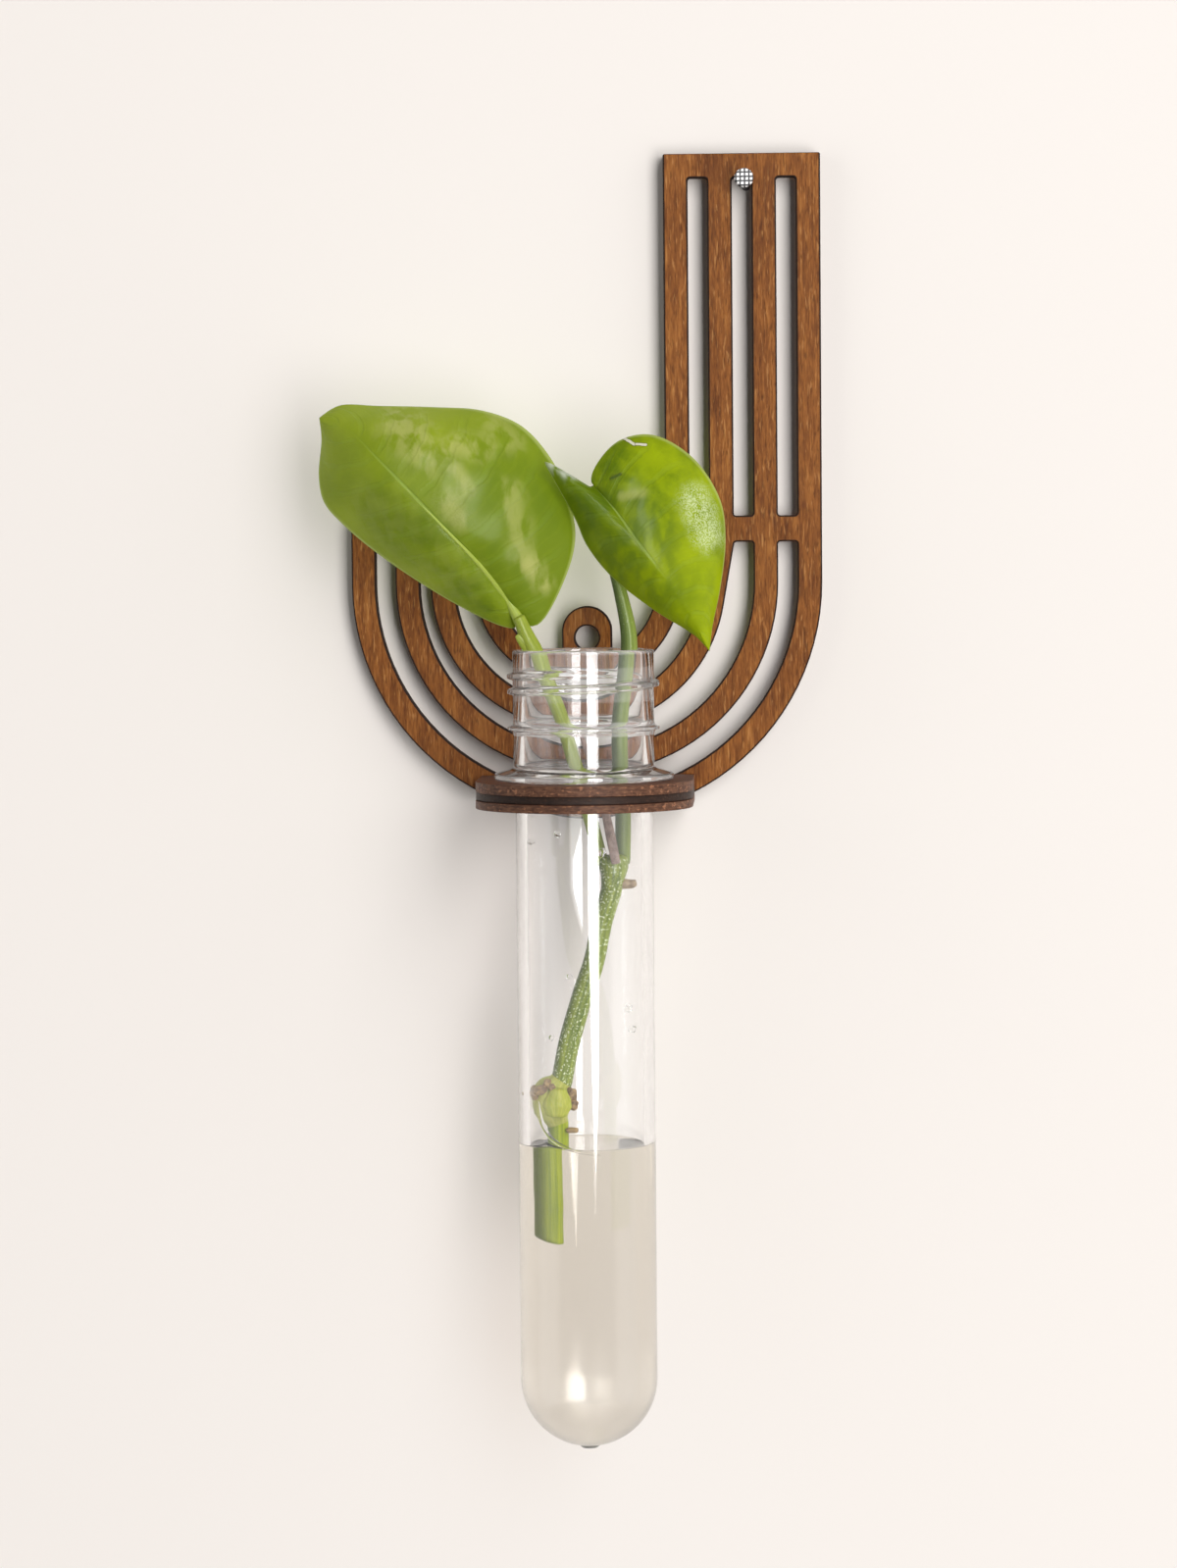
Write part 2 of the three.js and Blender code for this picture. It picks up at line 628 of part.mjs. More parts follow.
// The nail slopes down into the wall, so the plate rests on it and slides back against the wall.
function nailGeometry() {
  const shankR = nailDiameter / 2;
  const headR = nailHeadDiameter / 2;
  const profile = [
    [0, 0],
    [shankR, nailPointLength],
    [shankR, nailLength - nailHeadThickness],
    [headR, nailLength - nailHeadThickness],
    [headR, nailLength - 0.3],
    [headR - 0.3, nailLength],
    [0, nailLength],
  ];
  const points = profile.map(([radius, height]) => new THREE.Vector2(radius, height));
  const geometry = new THREE.LatheGeometry(points, 24);
  const slope = THREE.MathUtils.degToRad(nailSlope);
  const headDepth = nailHeadStandOff + plateThickness;
  geometry.translate(0, nailHeadThickness - nailLength, 0);
  geometry.rotateX(Math.PI);
  geometry.rotateX(-slope);
  geometry.rotateZ(-THREE.MathUtils.degToRad(nailYaw));
  const seat = -(shankR / Math.cos(slope) + nailSeatGap);
  const rise = nailHeadStandOff * Math.tan(slope);
  return geometry.translate(nailSideStep, -headDepth, seat + rise);
}

add('wall_nail', nailGeometry(), materials.steel);

export default station;
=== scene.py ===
"""A wall-hung propagation station: a pierced plywood J with a shelf, a clear round-bottomed tube of
water and a leafy cutting. Shapes are worked out in millimetres and made into meshes in metres."""

import math

import bmesh
import bpy
from mathutils import Matrix, Vector, noise


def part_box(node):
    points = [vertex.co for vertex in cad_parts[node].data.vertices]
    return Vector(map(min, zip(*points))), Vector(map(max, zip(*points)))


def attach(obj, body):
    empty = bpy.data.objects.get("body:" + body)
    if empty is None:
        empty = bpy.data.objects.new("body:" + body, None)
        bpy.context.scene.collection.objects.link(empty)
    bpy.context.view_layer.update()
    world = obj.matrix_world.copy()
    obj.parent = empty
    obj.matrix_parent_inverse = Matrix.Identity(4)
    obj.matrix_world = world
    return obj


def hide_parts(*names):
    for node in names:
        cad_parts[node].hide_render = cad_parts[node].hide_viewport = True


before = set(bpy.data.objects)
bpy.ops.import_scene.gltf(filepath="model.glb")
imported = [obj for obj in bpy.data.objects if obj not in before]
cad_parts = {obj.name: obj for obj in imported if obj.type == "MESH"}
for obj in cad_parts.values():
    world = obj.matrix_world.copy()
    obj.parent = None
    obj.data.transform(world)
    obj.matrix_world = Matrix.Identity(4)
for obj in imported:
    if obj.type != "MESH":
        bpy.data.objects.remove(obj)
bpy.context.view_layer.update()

MM = 0.001
WALLWARD = Vector((0, 1, 0))


def box_mm(node):
    """A solid's lowest and highest corners, in millimetres."""
    low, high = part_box(node)
    return low / MM, high / MM


# Places taken from the frame
GATE_DROP = 0.3
LIP_RISE = 0.4
FLANGE_GAP = 0.15
tube_low, tube_high = box_mm("test_tube")
TUBE_X = (tube_low.x + tube_high.x) / 2
TUBE_Y = (tube_low.y + tube_high.y) / 2
TUBE_BOTTOM = tube_low.z - GATE_DROP
RIM = tube_high.z
LIP = RIM + LIP_RISE
FLANGE_R = (tube_high.x - tube_low.x) / 2
FLANGE_BOTTOM = box_mm("shelf_upper")[1].z + FLANGE_GAP
WATER_TOP = box_mm("water")[1].z

# The tube
BODY_R = 12.45
BODY_BORE = 10.45
BODY_WALL = 2.0
NECK_R = 12.75
NECK_BORE = 10.9
FLANGE_EDGE = 1.2
FLANGE_CONE = 0.7
FLANGE_EASE = 0.35
FILLET_FOOT = 0.4
FILLET_HEIGHT = 0.6
LIP_EASE = 0.45
SHOULDER_RUN = 3.0
SHOULDER_EASE = 0.8
BEAD_OUT = 1.0
BEAD_HALF = 1.2
BEAD_DROP = 14.1
GATE_R = 1.75
GATE_HEIGHT = 0.4
GATE_CHAMFER = (0.3, 0.25)
THREAD_START = 4.1
THREAD_PITCH = 2.75
THREAD_TURNS = 1.5
THREAD_RISE = 1.05
THREAD_HALF = 0.85
THREAD_CREST = 0.3
THREAD_FADE = 0.14

# The cutting
JOINT_GAP = 0.3
STEM_R = 1.95
LOWER_NODE_R = 3.8
UPPER_NODE_R = 2.7
LARGE_R = 1.3
SMALL_R = 1.5
ROOT_R = 0.85
SHEATH_R = 0.8
LEAF_THICKNESS = 0.5
LEAF_GAP = 0.65
LEAF_ROUNDING = 1.5
LEAF_THINNING = 0.55
RIB_BACK = 0.35
VEIN_WAVES = 9
VEIN_SWEEP = 1.6
VEIN_HEIGHT = 0.10
LARGE_LENGTH = 50.0
SMALL_LENGTH = 36.7
LARGE_BULGE = 1.0
SMALL_BULGE = 0.8


class SmoothLine:
    """A smooth line through given points: a centripetal spline, also run at an even pace."""

    SAMPLES = 16

    def __init__(self, points):
        self.points = [Vector(point) for point in points]
        count = (len(self.points) - 1) * self.SAMPLES
        self.dense = [self.at(step / count) for step in range(count + 1)]
        self.reached = [0.0]
        for before, after in zip(self.dense, self.dense[1:]):
            self.reached.append(self.reached[-1] + (after - before).length)

    def at(self, share):
        """The point at a share of the spans, each as long as any other."""
        last = len(self.points) - 1
        span = min(int(share * last), last - 1)
        t = share * last - span
        start, end = self.points[span], self.points[span + 1]
        before = self.points[span - 1] if span > 0 else 2 * start - end
        after = self.points[span + 2] if span + 2 <= last else 2 * end - start
        pace = [max((b - a).length, 1e-6) ** 0.5 for a, b in ((before, start), (start, end), (end, after))]
        leave = (start - before) / pace[0] - (end - before) / (pace[0] + pace[1]) + (end - start) / pace[1]
        arrive = (end - start) / pace[1] - (after - start) / (pace[1] + pace[2]) + (after - end) / pace[2]
        leave *= pace[1]
        arrive *= pace[1]
        square = -3 * start + 3 * end - 2 * leave - arrive
        cube = 2 * start - 2 * end + leave + arrive
        return start + leave * t + square * t ** 2 + cube * t ** 3

    def along(self, share):
        """The point at a share of the line's length."""
        goal = share * self.reached[-1]
        for place in range(1, len(self.dense)):
            if self.reached[place] >= goal or place == len(self.dense) - 1:
                step = self.reached[place] - self.reached[place - 1]
                part = (goal - self.reached[place - 1]) / max(step, 1e-9)
                return self.dense[place - 1].lerp(self.dense[place], min(max(part, 0.0), 1.0))
        return self.dense[-1]


def between(values, share):
    """A value at a share of the way along evenly spaced values."""
    at = share * (len(values) - 1)
    start = min(int(at), len(values) - 2)
    return values[start] + (values[start + 1] - values[start]) * (at - start)


def smooth_step(low, high, value):
    """From 0 to 1 as the value goes from low to high, slow at both ends."""
    part = min(max((value - low) / (high - low), 0.0), 1.0)
    return part * part * (3 - 2 * part)


def put_in_scene(name, data):
    thing = bpy.data.objects.new(name, data)
    bpy.context.scene.collection.objects.link(thing)
    return thing


def make_piece(name, vertices, faces, finish, body, nodes=(), coords=None):
    """A piece from vertices in millimetres. It rides on its body and stands for its solids."""
    mesh = bpy.data.meshes.new(name)
    mesh.from_pydata([Vector(vertex) * MM for vertex in vertices], [], faces)
    mesh.materials.append(finish)
    if coords:
        layer = mesh.uv_layers.new(name="UVMap")
        for loop in mesh.loops:
            layer.data[loop.index].uv = coords[loop.vertex_index]
    mesh.validate()
    mesh.polygons.foreach_set("use_smooth", [True] * len(mesh.polygons))
    piece = put_in_scene(name, mesh)
    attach(piece, body)
    if nodes:
        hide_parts(*nodes)
    return piece


# Shader sums


class Value:
    """A socket that takes part in sums, which add their nodes to the material."""

    def __init__(self, finish, socket):
        self.finish = finish
        self.socket = socket

    def sum(self, operation, *terms):
        inputs = dict(enumerate(terms))
        return self.finish.node("Math", {"operation": operation}, inputs)

    def __add__(self, other):
        return self.sum("ADD", self, other)

    __radd__ = __add__

    def __sub__(self, other):
        return self.sum("SUBTRACT", self, other)

    def __rsub__(self, other):
        return self.sum("SUBTRACT", other, self)

    def __mul__(self, other):
        return self.sum("MULTIPLY", self, other)

    __rmul__ = __mul__

    def __truediv__(self, other):
        return self.sum("DIVIDE", self, other)

    def __pow__(self, other):
        return self.sum("POWER", self, other)

    def wave(self):
        """The sine, from 0 to 1."""
        return self.sum("SINE", self) * 0.5 + 0.5

    def size(self):
        return self.sum("ABSOLUTE", self)

    def larger(self, other):
        return self.sum("MAXIMUM", self, other)

    def smaller(self, other):
        return self.sum("MINIMUM", self, other)

    def band(self, low, high, start=0.0, end=1.0):
        """A soft step from start to end as the value goes from low to high."""
        settings = {"interpolation_type": "SMOOTHSTEP"}
        inputs = {"Value": self, 1: low, 2: high, 3: start, 4: end}
        return self.finish.node("MapRange", settings, inputs)


class Finish:
    """One material, or the room's light, and the nodes that make it. Pattern scales are per metre."""

    def __init__(self, name, world=None):
        self.material = world or bpy.data.materials.new(name)
        self.material.use_nodes = True
        self.tree = self.material.node_tree
        self.tree.nodes.clear()
        self.output = self.tree.nodes.new("ShaderNodeOutputWorld" if world else "ShaderNodeOutputMaterial")

    def node(self, kind, settings=None, inputs=None, output=0):
        """A node of that kind: its settings first, a ramp's stops among them, then its sockets."""
        node = self.tree.nodes.new("ShaderNode" + kind)
        for key, value in (settings or {}).items():
            if key == "stops":
                self.set_stops(node.color_ramp, value)
            else:
                setattr(node, key, value)
        for key, value in (inputs or {}).items():
            socket = node.inputs[key]
            if isinstance(value, Value):
                self.tree.links.new(value.socket, socket)
            else:
                socket.default_value = value
        return Value(self, node.outputs[output])

    @staticmethod
    def set_stops(ramp, stops):
        while len(ramp.elements) < len(stops):
            ramp.elements.new(1.0)
        for element, (position, colour) in zip(ramp.elements, stops):
            element.position = position
            element.color = (*colour, 1.0)

    def coords(self, kind="Object"):
        return self.node("TexCoord", output=kind)

    def stretched(self, scale, coords=None, turn=(0, 0, 0)):
        inputs = {"Vector": coords or self.coords(), "Scale": scale, "Rotation": turn}
        return self.node("Mapping", {}, inputs)

    def noise(self, scale, coords=None, detail=4.0, rough=0.55, distortion=0.0):
        inputs = {"Scale": scale, "Detail": detail, "Roughness": rough, "Distortion": distortion}
        inputs["Vector"] = coords or self.coords()
        return self.node("TexNoise", {}, inputs, "Fac")

    def spot(self, start, end, reach, grit=1500):
        """How far a place is from a short line seen from the front, in units of its ragged half width."""
        x, z = self.part(self.coords(), "X"), self.part(self.coords(), "Z")
        run = (end[0] - start[0], end[1] - start[1])
        length = math.hypot(*run)
        run = (run[0] / length, run[1] / length)
        ahead = (x - start[0] * MM) * run[0] + (z - start[1] * MM) * run[1]
        aside = (x - start[0] * MM) * run[1] - (z - start[1] * MM) * run[0]
        beyond = (ahead * -1).larger(ahead - length * MM).larger(0)
        ragged = self.noise(grit, detail=2) * 0.9 + 0.55
        return (aside * aside + beyond * beyond) ** 0.5 / (ragged * (reach * MM))

    def part(self, vector, axis):
        return self.node("SeparateXYZ", {}, {0: vector}, axis)

    def ramp(self, value, stops):
        return self.node("ValToRGB", {"stops": stops}, {"Fac": value})

    def mix(self, factor, first, second):
        """One colour laid over another."""
        settings = {"data_type": "RGBA"}
        inputs = {0: factor}
        for place, colour in ((6, first), (7, second)):
            inputs[place] = colour if isinstance(colour, Value) else (*colour, 1.0)
        return self.node("Mix", settings, inputs, 2)

    def bump(self, height, distance, strength):
        return self.node("Bump", {}, {"Height": height, "Distance": distance, "Strength": strength})

    def surface(self, **sockets):
        """The main shader; a socket's name is written with _ for each space."""
        inputs = {}
        for name, value in sockets.items():
            if name.endswith("Color") and not isinstance(value, Value):
                value = (*value, 1.0)
            inputs[name.replace("_", " ")] = value
        return self.node("BsdfPrincipled", {}, inputs)

    def done(self, shader):
        self.tree.links.new(shader.socket, self.output.inputs["Surface"])
        return self.material


def rgb(red, green, blue):
    """A colour as it reads in a picture, from 0 to 255, made linear."""
    return tuple(((v / 255 + 0.055) / 1.055) ** 2.4 if v > 10 else v / 3295 for v in (red, green, blue))


# Wood

CHAR = rgb(33, 24, 20)


def plate_wood():
    """Walnut-stained face with upright grain, and charred cut edges."""
    f = Finish("plate_wood")
    long_grain = f.noise(1, f.stretched((1500, 1500, 170)), 4, 0.6, 0.4)
    fine_grain = f.noise(1, f.stretched((3600, 3600, 480)), 3, 0.6, 0.3)
    broad = f.noise(1, f.stretched((210, 210, 60)), 3, 0.5, 0.6)
    pores = f.noise(1, f.stretched((3300, 3300, 420), turn=(0, 0.05, 0)), 2, 0.4, 0.3).band(0.58, 0.70)
    shine = f.noise(1, f.stretched((2600, 2600, 330), turn=(0, -0.07, 0)), 3, 0.5, 0.4).band(0.56, 0.72)
    tone = long_grain * 0.5 + fine_grain * 0.35 + broad * 0.3
    face = f.ramp(tone, [
        (0.42, rgb(86, 46, 15)), (0.53, rgb(116, 67, 26)), (0.62, rgb(137, 83, 35)),
        (0.74, rgb(164, 107, 50)),
    ])
    face = f.mix(pores * 0.55, face, rgb(62, 32, 12))
    face = f.mix(shine * 0.5, face, rgb(202, 146, 84))
    facing = f.part(f.node("NewGeometry", output="Normal"), "Y").size()
    is_face = facing.band(0.94, 0.985)
    soot = f.noise(900, detail=3)
    edge = f.mix(soot, CHAR, rgb(50, 35, 27))
    colour = f.mix(is_face, edge, face)
    grain = f.bump(tone - pores * 0.4, 0.00012, 0.5)
    rough = 0.62 - is_face * 0.14 + long_grain * 0.1
    return f.done(f.surface(Base_Color=colour, Roughness=rough, Normal=grain, Specular_IOR_Level=0.08))


def shelf_wood(name, char_and_shade):
    """Dark stained plies: brown faces, and charred rims with painted copper highlights."""
    f = Finish(name)
    grain = f.noise(1, f.stretched((160, 1500, 2600)), 5, 0.6)
    rim_grain = f.noise(1, f.stretched((700, 700, 2400)), 4, 0.6)
    copper_painted_glint = f.noise(1, f.stretched((1300, 1300, 1900)), 2, 0.4).band(0.6, 0.72)
    level = f.part(f.node("NewGeometry", output="Normal"), "Z").size()
    is_face = level.band(0.85, 0.97)
    face = f.ramp(grain, [(0.35, rgb(66, 38, 26)), (0.55, rgb(96, 58, 38)), (0.75, rgb(122, 78, 52))])
    rim = f.ramp(rim_grain, [(0.35, rgb(66, 42, 30)), (0.55, rgb(98, 66, 48)), (0.75, rgb(128, 90, 66))])
    # Painted highlight: copper glints laid into the rim's colour
    rim = f.mix(copper_painted_glint * 0.45, rim, rgb(190, 132, 96))
    # Rims darkened towards char: for the set-back middle layer this is partly char and partly painted shade
    # in the groove
    rim = f.mix(char_and_shade, rim, CHAR)
    colour = f.mix(is_face, rim, face)
    rough = 0.4 + grain * 0.2
    normal = f.bump(rim_grain + copper_painted_glint * 0.5, 0.0001, 0.6)
    return f.done(f.surface(Base_Color=colour, Roughness=rough, Normal=normal, Specular_IOR_Level=0.15))


FLAT_ANGLE = math.radians(1)
SHARP_ANGLE = math.radians(50)
WELD = 1e-6


def sharp_piece(name, node, finish, body, width):
    """A sheet piece in its solid's own shape, with its edges lightly eased."""
    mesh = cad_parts[node].data.copy()
    mesh.name = name
    mesh.materials.clear()
    mesh.materials.append(finish)
    work = bmesh.new()
    work.from_mesh(mesh)
    bmesh.ops.remove_doubles(work, verts=work.verts, dist=WELD)
    bmesh.ops.dissolve_limit(work, angle_limit=FLAT_ANGLE, verts=work.verts, edges=work.edges)
    work.to_mesh(mesh)
    work.free()
    piece = put_in_scene(name, mesh)
    ease = piece.modifiers.new("eased edges", "BEVEL")
    ease.width = width * MM
    ease.segments = 2
    ease.limit_method = "ANGLE"
    ease.angle_limit = SHARP_ANGLE
    ease.use_clamp_overlap = False
    for polygon in mesh.polygons:
        polygon.use_smooth = False
    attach(piece, body)
    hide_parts(node)


# The clear tube

# Where the wall starts to soften towards the round bottom, and where it is softest
SOFT_TOP = TUBE_BOTTOM + 26
SOFT_END = TUBE_BOTTOM + 10
# Stretches of the tube painted pale with a white share, in place of the bright light they catch: foot, top
# and strength
RIDGES = (
    (LIP - 0.9, LIP + 0.5, 0.1), (LIP - 9.4, LIP - 3.0, 0.05),
    (LIP - BEAD_DROP - 1.4, LIP - BEAD_DROP + 1.4, 0.12), (LIP - 26.5, LIP - 22.5, 0.12),
)
RIDGE_FADE = 0.3
CLOUDY_SHARE = 0.985
# For each clear body: the tint of what shows through, how much it bends light, and its shadow's tint
TUBE_TINT = (0.995, 0.995, 0.995)
TUBE_INDEX = 1.57
TUBE_SHADE = (0.97, 0.965, 0.965)
TUBE_SOFTEST = 0.14
# The water's beige grey is painted shade: it stands for the shaded wall seen through the water
WATER_PAINTED_SHADE = (0.835, 0.8, 0.73)
WATER_INDEX = 1.333
WATER_SHADE = (0.97, 0.96, 0.94)
SEAM_TINT = (0.99, 0.985, 0.96)
SEAM_INDEX = 1.25
DROP_TINT = (0.99, 0.99, 0.98)
DROP_INDEX = 1.2
NO_SHADE = (1.0, 1.0, 1.0)


def clear_finish(name, tint, index, shade, painted_pale_bands=(), softest=0.0):
    """A clear body, softer in its round bottom, painted pale at its ridges for the bright light they catch,
    that lets the lamps through.
    """
    f = Finish(name)
    height = f.part(f.coords(), "Z")
    softness = height.band(SOFT_TOP * MM, SOFT_END * MM, 0.0, softest)
    fainter = tuple(CLOUDY_SHARE * part for part in tint)
    colour = f.mix(f.noise(60, detail=2), tint, fainter)
    clear = f.surface(Base_Color=colour, Roughness=softness, Transmission_Weight=1.0, IOR=index)
    if painted_pale_bands:
        # Painted light: a white diffuse share that makes the ridges pale
        painted_pale = f.surface(Base_Color=rgb(250, 250, 248), Roughness=0.4)
        amount = 0
        for low, high, strength in painted_pale_bands:
            above_foot = height.band(low * MM, (low + RIDGE_FADE) * MM)
            inside = above_foot * height.band(high * MM, (high - RIDGE_FADE) * MM)
            amount = inside * strength + amount
        clear = f.node("MixShader", {}, {0: amount, 1: clear, 2: painted_pale})
    through = f.node("BsdfTransparent", {}, {"Color": (*shade, 1.0)})
    in_shadow = f.node("LightPath", output="Is Shadow Ray")
    bounced = f.node("LightPath", output="Is Diffuse Ray")
    return f.done(f.node("MixShader", {}, {0: in_shadow.larger(bounced), 1: clear, 2: through}))


# The turn about the tube's axis that faces the viewer
FRONT = math.radians(270)


def thread_rise(angle, z):
    """How far the rolled thread stands out of the neck. It starts in front and sinks away behind."""
    rise = 0.0
    for turn in range(2):
        at = ((FRONT - angle) / math.tau) % 1 + turn
        if at > THREAD_TURNS:
            continue
        centre = LIP - THREAD_START - THREAD_PITCH * at
        away = abs(z - centre)
        if away < THREAD_HALF:
            fade = smooth_step(0, THREAD_FADE, at)
            fade *= 1 - smooth_step(THREAD_TURNS - THREAD_FADE, THREAD_TURNS, at)
            rise += THREAD_RISE * fade * (1 - smooth_step(THREAD_CREST, THREAD_HALF, away))
    return rise


def dome(radius, centre_z, start_radius, steps):
    """Points of a round bottom, from the edge of its flat up to the full radius."""
    start = math.asin(start_radius / radius)
    points = []
    for step in range(steps + 1):
        angle = start + (math.pi / 2 - start) * step / steps
        points.append((radius * math.sin(angle), centre_z - radius * math.cos(angle)))
    return points


# How much of a stretch of the profile the rounding of each of its corners may take up
MOST_EASED = 0.48


def rounded(corners, steps=4):
    """Rounds each corner (radius, height, rounding) of a profile with a short curve."""
    points = []
    for place, (r, z, ease) in enumerate(corners):
        here = Vector((r, z))
        if ease == 0 or place in (0, len(corners) - 1):
            points.append((r, z))
            continue
        before = Vector(corners[place - 1][:2])
        after = Vector(corners[place + 1][:2])
        reach_in = min(ease, (before - here).length * MOST_EASED)
        reach_out = min(ease, (after - here).length * MOST_EASED)
        start = here + (before - here).normalized() * reach_in
        end = here + (after - here).normalized() * reach_out
        for step in range(steps + 1):
            t = step / steps
            point = start * (1 - t) ** 2 + here * (2 * t * (1 - t)) + end * t ** 2
            points.append((point.x, point.y))
    return points


def turned(profile, steps, swell=None):
    """A profile of radius and height turned about the tube's axis, with an optional swelling."""
    vertices = []
    faces = []
    rings = []
    for radius, height in profile:
        if radius < 1e-6:
            rings.append([len(vertices)])
            vertices.append((TUBE_X, TUBE_Y, height))
            continue
        ring = []
        for step in range(steps):
            angle = math.tau * step / steps
            out = radius + (swell(angle, radius, height) if swell else 0.0)
            ring.append(len(vertices))
            vertices.append((TUBE_X + out * math.cos(angle), TUBE_Y + out * math.sin(angle), height))
        rings.append(ring)
    for lower, upper in zip(rings, rings[1:]):
        for step in range(steps):
            after = (step + 1) % steps
            if len(lower) == 1:
                faces.append((lower[0], upper[after], upper[step]))
            elif len(upper) == 1:
                faces.append((lower[step], lower[after], upper[0]))
            else:
                faces.append((lower[step], lower[after], upper[after], upper[step]))
    return vertices, faces


# The bead's section: out from the neck, up from the bead's middle, and each corner's rounding
BEAD_SECTION = [
    (0, -BEAD_HALF, 0.2), (0.12, -0.7, 0.2), (0.35, -0.42, 0.2), (BEAD_OUT, -0.3, 0.12),
    (BEAD_OUT, 0.2, 0.12), (0.35, 0.38, 0.2), (0.12, 0.7, 0.2), (0, BEAD_HALF, 0.2),
]
THREAD_ROWS = 64
DOME_STEPS = 28
TUBE_SIDES = 160


def make_tube(finish):
    """One turned profile: up the outside from the gate, over the lip and down the bore."""
    neck_foot = FLANGE_BOTTOM + FLANGE_EDGE + FLANGE_CONE
    bead_z = LIP - BEAD_DROP
    dome_centre = TUBE_BOTTOM + GATE_HEIGHT + BODY_R
    bore_centre = TUBE_BOTTOM + BODY_WALL + BODY_BORE
    bore_shoulder = FLANGE_BOTTOM - BODY_WALL
    thread_top = LIP - THREAD_START + THREAD_HALF
    thread_foot = LIP - THREAD_START - THREAD_PITCH * THREAD_TURNS - THREAD_HALF
    outside = [
        (0, TUBE_BOTTOM), (GATE_R - GATE_CHAMFER[0], TUBE_BOTTOM), (GATE_R, TUBE_BOTTOM + GATE_CHAMFER[1]),
    ]
    outside += dome(BODY_R, dome_centre, GATE_R, DOME_STEPS)
    outside += rounded([
        (BODY_R, FLANGE_BOTTOM - SHOULDER_RUN, 0), (BODY_R, FLANGE_BOTTOM, 0.3),
        (FLANGE_R, FLANGE_BOTTOM, FLANGE_EASE), (FLANGE_R, FLANGE_BOTTOM + FLANGE_EDGE, FLANGE_EASE),
        (NECK_R + FILLET_FOOT, neck_foot, 0.5), (NECK_R, neck_foot + FILLET_HEIGHT, 0.3),
        *[(NECK_R + out, bead_z + up, ease) for out, up, ease in BEAD_SECTION],
        (NECK_R, thread_foot, 0),
    ])
    for row in range(1, THREAD_ROWS + 1):
        outside.append((NECK_R, thread_foot + (thread_top - thread_foot) * row / THREAD_ROWS))
    inside = rounded([
        (NECK_R, thread_top + 0.2, 0), (NECK_R, LIP, LIP_EASE), (NECK_BORE, LIP, LIP_EASE),
        (NECK_BORE, FLANGE_BOTTOM, SHOULDER_EASE), (BODY_BORE, bore_shoulder, SHOULDER_EASE),
        (BODY_BORE, bore_shoulder - SHOULDER_RUN, 0),
    ])
    inside += dome(BODY_BORE, bore_centre, 0, DOME_STEPS)[::-1]

    def swell(angle, radius, height):
        if abs(radius - NECK_R) < 0.01 and thread_foot < height < thread_top:
            return thread_rise(angle, height)
        return 0.0

    vertices, faces = turned(outside + inside, TUBE_SIDES, swell)
    make_piece("clear_tube", vertices, faces, finish, "tube", ["test_tube"])


# The water

WATER_OVERLAP = 0.04
WATER_SIDES = 180
RING_RISE = 0.3
RING_WIDTH = 0.6
CLIMB_DEPTH = 8.0
# Rings of the mesh, close together at the edge of the surface: down the wall, then inward
WALL_STEPS = (CLIMB_DEPTH, 6.0, 4.0, 2.5, 1.5, 0.8, 0.4, 0.15, 0.06)
SURFACE_STEPS = (0, 0.05, 0.12, 0.22, 0.35, 0.5, 0.7, 0.95, 1.3, 1.8, 2.4, 3.2, 4.4, 6.0, 8.0)
# The film beside the node: degrees round the axis, rise, spread to both sides in degrees, and width
FILM_ANGLE = -128.0
FILM_RISE = 1.3
FILM_SPREAD = 16.0
FILM_TAIL = 12.0
FILM_WIDTH = 1.3
# The seam on the wall: its radius, and its way right of the axis and above the rim
SEAM_R = 0.36
SEAM_GAP = 0.02
SEAM_WAY = [
    (-7.9, -80.8), (-7.75, -82.6), (-7.2, -84.6), (-6.0, -86.8), (-4.2, -88.2), (-1.8, -89.2), (0.6, -89.75),
    (2.6, -89.95),
]


def water_lift(angle, radius, full):
    """The surface's climb: a thin ring round the wall, and a film up to where the node touches it."""
    from_film = (math.degrees(angle) - FILM_ANGLE + 180) % 360 - 180
    spread = FILM_SPREAD if from_film > 0 else FILM_TAIL
    ring = RING_RISE * math.exp(-(full - radius) / RING_WIDTH)
    film = FILM_RISE * math.exp(-abs(from_film) / spread) * math.exp(-(full - radius) / FILM_WIDTH)
    return ring + film


def make_water(finish):
    """The water fills the bore up to a surface that climbs where it touches wall and node."""
    full = BODY_BORE + WATER_OVERLAP
    centre = TUBE_BOTTOM + BODY_WALL + BODY_BORE
    profile = dome(full, centre, 0, DOME_STEPS)
    level = WATER_TOP - RING_RISE
    profile += [(full, level - drop) for drop in WALL_STEPS]
    profile += [(full - step, level) for step in SURFACE_STEPS]
    profile.append((0, level))
    vertices, faces = turned(profile, WATER_SIDES)
    lifted = []
    for x, y, z in vertices:
        radius = math.hypot(x - TUBE_X, y - TUBE_Y)
        lift = water_lift(math.atan2(y - TUBE_Y, x - TUBE_X), radius, full)
        share = min(max((z - level + CLIMB_DEPTH) / CLIMB_DEPTH, 0.0), 1.0)
        lifted.append((x, y, z + lift * share ** 2))
    make_piece("water_body", lifted, faces, finish, "tube", ["water"])


def make_seam(finish):
    """The thin seam of water that the node draws up the wall."""
    reach = BODY_BORE - SEAM_R - SEAM_GAP
    points = []
    for right, above in SEAM_WAY:
        ahead = math.sqrt(reach ** 2 - right ** 2)
        points.append(Vector((TUBE_X + right, TUBE_Y - ahead, RIM + above)))
    widths = times(SEAM_R, [0.5, 1, 1, 1, 0.9, 0.7, 0.5, 0.3])
    vertices, faces, coords = lofted(points, widths, sides=12, rings=50)
    make_piece("water_seam", vertices, faces, finish, "tube", (), coords)


# The cutting


